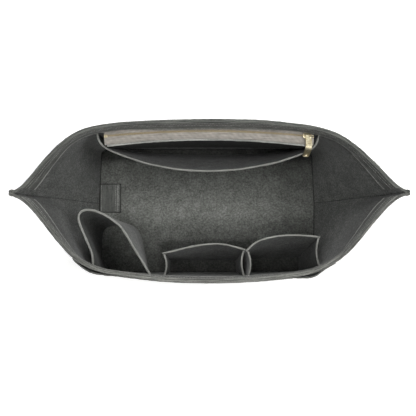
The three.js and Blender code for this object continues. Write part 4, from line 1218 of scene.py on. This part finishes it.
def makeSlipPanel():
    shape = smoothed(spline([(-x, y) for x, y in reversed(slip["shares"][1:])] + slip["shares"]), slip["ease"])
    share, depthShare = along(shape, marks(2 * slip["half"] + slip["bulge"], slip["columnStep"])).T
    x = share * slip["half"]
    for sign, reach in slip["reach"]:
        x = x + sign * reach * np.clip(sign * share / slip["reachOver"] - slip["reachFrom"], 0, 1)**2
    topZ = slip["endHeight"] - slip["dip"] * (1 - share**4)
    rows = []
    for up in marks(slip["height"], spacing["up"], [slip["closeRows"]]):
        z = footZ + (topZ - footZ) * up
        depth = slip["footDepth"] + (slip["depth"] - slip["footDepth"]) * up
        rows.append(np.stack([x, wallY(1, x, z) - depthShare * depth, z], -1))
    grid = np.array(rows)
    # the free rim wanders a little where the felt was cut by hand
    grid[..., 1] += slip["wander"] * cutWander(grid) * rimShare(len(grid)) * np.clip(5 - 5 * np.abs(share), 0, 1)
    # its inner face is drawn in the darker pocket felt: painted shade
    feltSheet("slipPocketFelt", grid, liner["pocketFelt"], "slip_pocket_panel", materials["wall"],
              shadedFace="B")


def rimShare(rows):
    # how much each row takes part in what happens to the rim
    return np.linspace(0, 1, rows)[:, None]**6


makeSlipPanel()
print("slip pocket built")


# Front pockets: a bulging panel and two gussets each
pocketLook = {"height": 120, "bow": 3, "overhang": 2.2, "edgeGap": 0.5, "wander": 0.1, "groove": 0.25, "ease": 0.08}
pockets = {
    "leftPocket": {"node": "front_pocket_a", "left": -56.5, "right": 43.5, "depth": 44.8, "footDepth": 20,
                   "shares": [(-1, 0.748), (-0.6, 0.844), (-0.3, 0.929), (0, 0.984), (0.3, 1), (0.6, 0.964),
                              (1, 0.84)]},
    "rightPocket": {"node": "front_pocket_b", "left": 49, "right": 138.5, "depth": 55.3, "footDepth": 24,
                    "shares": [(-1, 0.68), (-0.88, 0.783), (-0.71, 0.866), (-0.37, 0.951), (0, 0.992), (0.3, 1),
                               (0.65, 0.987), (1, 0.958)]},
}


def pocketY(pocket, x, up):
    curve = smoothed(spline(pocket["shares"]), pocketLook["ease"])
    share = (x - pocket["left"]) / ((pocket["right"] - pocket["left"]) / 2) - 1
    depth = np.interp(share, curve[:, 0], curve[:, 1])
    # past its gussets the panel goes straight on
    for sign, last, before in ((-1, curve[0], curve[1]), (1, curve[-1], curve[-2])):
        slope = (last[1] - before[1]) / (last[0] - before[0])
        depth = np.where(sign * share > 1, last[1] + slope * (share - sign), depth)
    depth = depth * pocket["depth"]
    return -liner["baseWidth"] / 2 + pocket["footDepth"] + (depth - pocket["footDepth"]) * up


def makeFrontPocket(name, pocket):
    height = pocketLook["height"] - footZ
    ups = marks(height, spacing["up"])
    seam = pocketLook["overhang"]
    width = pocket["right"] - pocket["left"] + 2 * seam
    across = width * marks(width, spacing["along"], [seam, width - seam])
    x = pocket["left"] - seam + across
    grid = np.array([np.stack([x, pocketY(pocket, x, up), np.full(len(x), footZ + height * up)], -1) for up in ups])
    grid[..., 1] += pocketLook["wander"] * cutWander(grid) * ups[:, None]**6
    # the panel's inner face is drawn in the darker pocket felt: painted shade
    a, b = feltSheet(f"{name}Panel", grid, liner["pocketFelt"], f"{pocket['node']}_panel",
                     materials["wall"], shadedFace="A",
                     grooves=[(edge, seam, pocketLook["groove"]) for edge in ("left", "right")])
    outer, inner = (a, b) if (a - b)[3, 10, 1] > 0 else (b, a)
    threadObject(f"{name}Stitches", [faceColumn(outer, inner, np.abs(across - at).argmin(), slice(3, -3))
                                     for at in (seam, width - seam)])
    for word, sign, shadedFace in (("left", 1, "A"), ("right", -1, "B")):
        rows, at = [], pocket[word]
        for up in ups:
            z = footZ + height * up
            near, far = (float(pocketY(pocket, np.array(x), up)) for x in (at, at + seam))
            end = near - liner["pocketFelt"] / 2 - liner["seamGap"] - abs(far - near) / 2
            start = float(wallY(-1, at, z)) + pocketLook["edgeGap"] - liner["seamGap"]
            share = share if rows else marks(end - start, spacing["along"])
            bow = sign * pocketLook["bow"] * up * np.sin(math.pi * share)
            rows.append(np.stack([at + bow, start + (end - start) * share, np.full(len(share), z)], -1))
        # each gusset's inner face is drawn in the darker pocket felt: painted shade
        feltSheet(f"{name}{word.capitalize()}Gusset", np.array(rows), liner["pocketFelt"],
                  f"{pocket['node']}_gusset_{word}", materials["wall"], shadedFace=shadedFace)


for name, pocket in pockets.items():
    makeFrontPocket(name, pocket)
print("front pockets built")


# Bottle holder: a loop whose two ends are sewn to the front wall
holder = {
    "height": 130, "felt": 2.8, "left": -163, "width": 90, "front": -86, "depth": 79,
    "leftSeam": -143, "rightSeam": -73, "footLeftSeam": -151, "footRightSeam": -90,
    "endGap": 0.5, "ease": 5, "wander": 0.12, "wanderFrom": 0.08,
    "rimShares": [(0.209, 0.3), (0.141, 0.486), (0.069, 0.673), (0.008, 0.861), (0.018, 0.947), (0.09, 0.992),
                  (0.171, 0.995), (0.253, 0.972), (0.337, 0.933), (0.419, 0.878), (0.501, 0.813), (0.584, 0.741),
                  (0.682, 0.578), (0.78, 0.391), (0.88, 0.204)],
    "footShares": [(0.049, 0.152), (0.041, 0.329), (0.04, 0.481), (0.044, 0.608), (0.072, 0.709), (0.133, 0.778),
                   (0.211, 0.808), (0.3, 0.818), (0.4, 0.818), (0.5, 0.804), (0.594, 0.759), (0.664, 0.671),
                   (0.708, 0.532), (0.744, 0.367), (0.778, 0.177), (0.795, 0.06)],
}


def makeHolder():
    def curve(shares, seams, z):
        between = [(holder["left"] + x * holder["width"], holder["front"] + y * holder["depth"]) for x, y in shares]
        ends = [(x, float(wallY(-1, x, z)) + holder["endGap"]) for x in seams]
        return smoothed(spline([ends[0], *between, ends[1]]), holder["ease"])

    rim = curve(holder["rimShares"], (holder["leftSeam"], holder["rightSeam"]), holder["height"])
    foot = curve(holder["footShares"], (holder["footLeftSeam"], holder["footRightSeam"]), footZ)
    shares = marks(lengths(rim)[-1], spacing["fine"])
    top, low = along(rim, shares), along(foot, shares)
    rows = []
    for up in marks(holder["height"] - footZ, spacing["up"]):
        z = footZ + (holder["height"] - footZ) * up
        line = low + (top - low) * up
        for k in (0, -1):
            line[k, 1] = float(wallY(-1, line[k, 0], z)) + liner["seamGap"]
        rows.append(np.column_stack([line, np.full(len(line), z)]))
    grid = np.array(rows)
    free = np.clip(np.minimum(shares, 1 - shares) / holder["wanderFrom"], 0, 1)
    grid[..., 0] += holder["wander"] * cutWander(grid) * rimShare(len(grid)) * free
    # its inner face is drawn in the darker pocket felt: painted shade
    feltSheet("bottleHolderFelt", grid, holder["felt"], "bottle_holder", materials["wall"],
              shadedFace="A")


makeHolder()
print("holder built")


# Woven tab on the base, sewn along its left edge, with a folded hem at its free end
baseTab = {"length": 32, "width": 44, "thickness": 2, "middle": 18, "left": -162, "rib": 2.0, "ribHeight": 0.06,
           "foldAt": 27, "foldWidth": 1.4, "foldHeight": 0.35, "pile": 0.07, "edgeGap": 0.9, "seams": (2.2, 23.5),
           "ribFade": 1.5, "curlReach": 2.2, "curlFrom": 8, "edgeRadius": 0.9, "edgeFlat": 0.6, "thinnest": 0.5}


def makeBaseTab():
    x = np.linspace(0, baseTab["length"], 97)
    gx, gy = np.meshgrid(x, np.linspace(-baseTab["width"] / 2, baseTab["width"] / 2, 61))
    free = np.minimum(baseTab["length"] - gx, baseTab["width"] / 2 - np.abs(gy))
    fromEdge = np.minimum(gx, free)
    ribs = baseTab["ribHeight"] * np.sin(gx * 2 * math.pi / baseTab["rib"])
    ribs = ribs * np.clip(fromEdge / baseTab["ribFade"], 0, 1)
    fold = baseTab["foldHeight"] * bell(gx - baseTab["foldAt"], baseTab["foldWidth"])
    pile = baseTab["pile"] * lumps(np.dstack([gx, gy, 0 * gx]))
    # its free edges curl up a little
    gap = baseTab["edgeGap"] * bell(free, baseTab["curlReach"])
    gap = gap * np.clip(gx / baseTab["curlFrom"], 0, 1)
    top = baseTab["thickness"] * 0.7 + ribs + fold + pile
    top = gap * 0.4 + top * edgeProfile(fromEdge, baseTab["edgeRadius"], baseTab["edgeFlat"])
    heights = top, np.minimum(gap, top - baseTab["thinnest"])
    sides = [np.dstack([baseTab["left"] + gx, baseTab["middle"] + gy, footZ + h]) for h in heights]
    obj = makeObject("baseTabWebbing", np.concatenate([side.reshape(-1, 3) for side in sides]),
                     shellFaces(*gx.shape).tolist(), [materials["webbing"]],
                     grain=np.concatenate([np.dstack([gx, gy, h]).reshape(-1, 3) for h in heights]))
    enlist(obj, "tab", "base_tab")
    runs = []
    for at in baseTab["seams"]:
        path = sides[0][3:-3, np.abs(x - at).argmin()]
        runs.append((path, np.broadcast_to([0, 0, 1.0], path.shape)))
    threadObject("baseTabStitches", runs, body="tab")


makeBaseTab()


# Flat pocket outside the front wall, from corner to corner
outer = {"height": 150, "foot": 6, "setback": 97, "rightSetback": 112, "seam": 3.5, "groove": 0.25,
         # how far its mouth stands off the wall, by distance from its left and from its right end
         "leftGape": [(0, 0.3), (4, 1.2), (14, 2.2), (24, 3.6), (32, 3), (44, 0.8), (56, 0)],
         "rightGape": [(0, 0), (8, 0), (14, 0.4), (20, 1.8), (27, 4.2), (34, 4.4), (42, 2.6), (52, 0.6), (60, 0)]}


def makeOuterPocket():
    footLength = lengths(feet[-1])[-1]
    length = footLength - outer["setback"] - outer["rightSetback"]
    height, seam = outer["height"] - outer["foot"], outer["seam"]
    shares = (outer["setback"] + length * marks(length, spacing["along"], [seam, length - seam])) / footLength
    ups = (outer["foot"] + height * marks(height, spacing["up"], [seam])) / liner["wallHeight"]
    grid = wallPoints(-1, shares, ups)
    rows, columns = grid.shape[:2]
    normal = sheetNormals(grid)
    outward = -np.sign(normal[3, columns // 2, 1])
    gape = sum(np.interp(distance, *np.array(outer[table], float).T)
               for distance, table in zip(rowDistance(grid, 1), ("leftGape", "rightGape")))
    inset = inWall + liner["outerFelt"] / 2 + gape * np.linspace(0, 1, rows)[:, None]**2
    grid = grid + normal * outward * inset[..., None]
    a, b = feltSheet("outerPocketFelt", grid, liner["outerFelt"], "outer_pocket_panel",
                     materials["wall"], "rimOuter",
                     [(edge, seam, outer["groove"]) for edge in ("left", "right", "bottom")], levelFoot=False)
    front, back = (a, b) if (a - b)[3, columns // 2, 1] < 0 else (b, a)
    trim = slice(5, -5)
    runs = [faceRow(front[:, trim], back[:, trim], rowDistance(grid, 0)[0][:, trim], seam)]
    for distance in rowDistance(grid, 1):
        runs.append(faceColumn(front, back, np.abs(distance[rows // 2] - seam).argmin(), slice(5, -3)))
    threadObject("outerPocketStitches", runs)


makeOuterPocket()
print("outer pocket built")


# Floor, light and camera
studio = {"floorSize": 4.0, "floorColour": "#f4f4f2", "floorGlow": 0.55, "worldStrength": 0.05,
          "backdrop": 0.8}


def makeFloor():
    half = studio["floorSize"] / 2
    mesh = bpy.data.meshes.new("studioFloor")
    mesh.from_pydata([(-half, -half, 0), (half, -half, 0), (half, half, 0), (-half, half, 0)], [], [(0, 1, 2, 3)])
    floor = bpy.data.objects.new("studioFloor", mesh)
    bpy.context.scene.collection.objects.link(floor)
    material, tree = newMaterial("studioPaper")
    paper = addNode(tree, "ShaderNodeBsdfDiffuse", {"Color": toLinear(studio["floorColour"])})
    path = addNode(tree, "ShaderNodeLightPath", {}).node.outputs
    seen = calculate(tree, "ADD", path["Is Camera Ray"], path["Is Glossy Ray"], clamp=True)
    seen = calculate(tree, "ADD", seen, path["Is Transmission Ray"], clamp=True)
    strength = calculate(tree, "MULTIPLY", seen, studio["floorGlow"])
    glow = addNode(tree, "ShaderNodeEmission", {"Color": (1, 1, 1, 1), "Strength": strength})
    addNode(tree, "ShaderNodeOutputMaterial", {"Surface": addNode(tree, "ShaderNodeAddShader", {0: paper, 1: glow})})
    mesh.materials.append(material)


makeFloor()

lamps = {
    "topSoftbox": {"place": (0.0, 0.0, 1.7), "size": 0.4, "power": 1.85},
    "rightHighSoftbox": {"place": (0.751, 0.0, 1.513), "size": 0.5, "power": 3.81},
    "rightLowSoftbox": {"place": (1.071, 0.0, 1.289), "size": 0.6, "power": 4.92},
    "leftSoftbox": {"place": (-0.387, 0.0, 1.652), "size": 0.4, "power": 4.28},
    "backLeftSoftbox": {"place": (-0.274, 0.274, 1.652), "size": 0.4, "power": 0.68},
    "frontHighSoftbox": {"place": (0.0, -0.387, 1.652), "size": 0.4, "power": 3.33},
    "frontLowSoftbox": {"place": (0.0, -1.071, 1.289), "size": 0.6, "power": 1.49},
    "backLowSoftbox": {"place": (0.0, 1.071, 1.289), "size": 0.6, "power": 8.7},
}
lampAim = (0, 0, 0.1)

for name, lamp in lamps.items():
    data = bpy.data.lights.new(name, "AREA")
    data.shape = "SQUARE"
    data.size = lamp["size"]
    data.energy = lamp["power"]
    light = bpy.data.objects.new(name, data)
    bpy.context.scene.collection.objects.link(light)
    light.location = lamp["place"]
    light.rotation_euler = (Vector(lampAim) - Vector(lamp["place"])).to_track_quat("-Z", "Y").to_euler()

scene = bpy.context.scene
scene.view_settings.view_transform = "Standard"
scene.world = bpy.data.worlds.new("studioWorld")
scene.world.use_nodes = True
sky = scene.world.node_tree
background = sky.nodes["Background"]
background.inputs["Color"].default_value = (1, 1, 1, 1)
# only the camera sees the pale backdrop; the scene itself gets very little from it
seenByCamera = addNode(sky, "ShaderNodeLightPath", {}, "Is Camera Ray")
strength = mapRange(sky, seenByCamera, 0, 1, studio["worldStrength"], studio["backdrop"])
sky.links.new(strength, background.inputs["Strength"])

# the photograph is 416 by 416, taken from 0.7 m straight above, a little in front of the middle
view = {"place": (-14.39, -46.36, 709.26), "turn": (-0.0698, 0.0220, 0.0016), "focal": 467, "picture": 416,
        "sensor": 36}
toCamera = (Matrix.Rotation(view["turn"][2], 3, "Z") @ Matrix.Rotation(view["turn"][1], 3, "Y")
            @ Matrix.Rotation(view["turn"][0], 3, "X"))
cameraData = bpy.data.cameras.new("photoCamera")
cameraData.sensor_width = view["sensor"]
cameraData.lens = view["focal"] / view["picture"] * view["sensor"]
cameraData.clip_start = 0.01
camera = bpy.data.objects.new("photoCamera", cameraData)
scene.collection.objects.link(camera)
camera.matrix_world = Matrix.Translation([v * mm for v in view["place"]]) @ toCamera.transposed().to_4x4()
scene.camera = camera
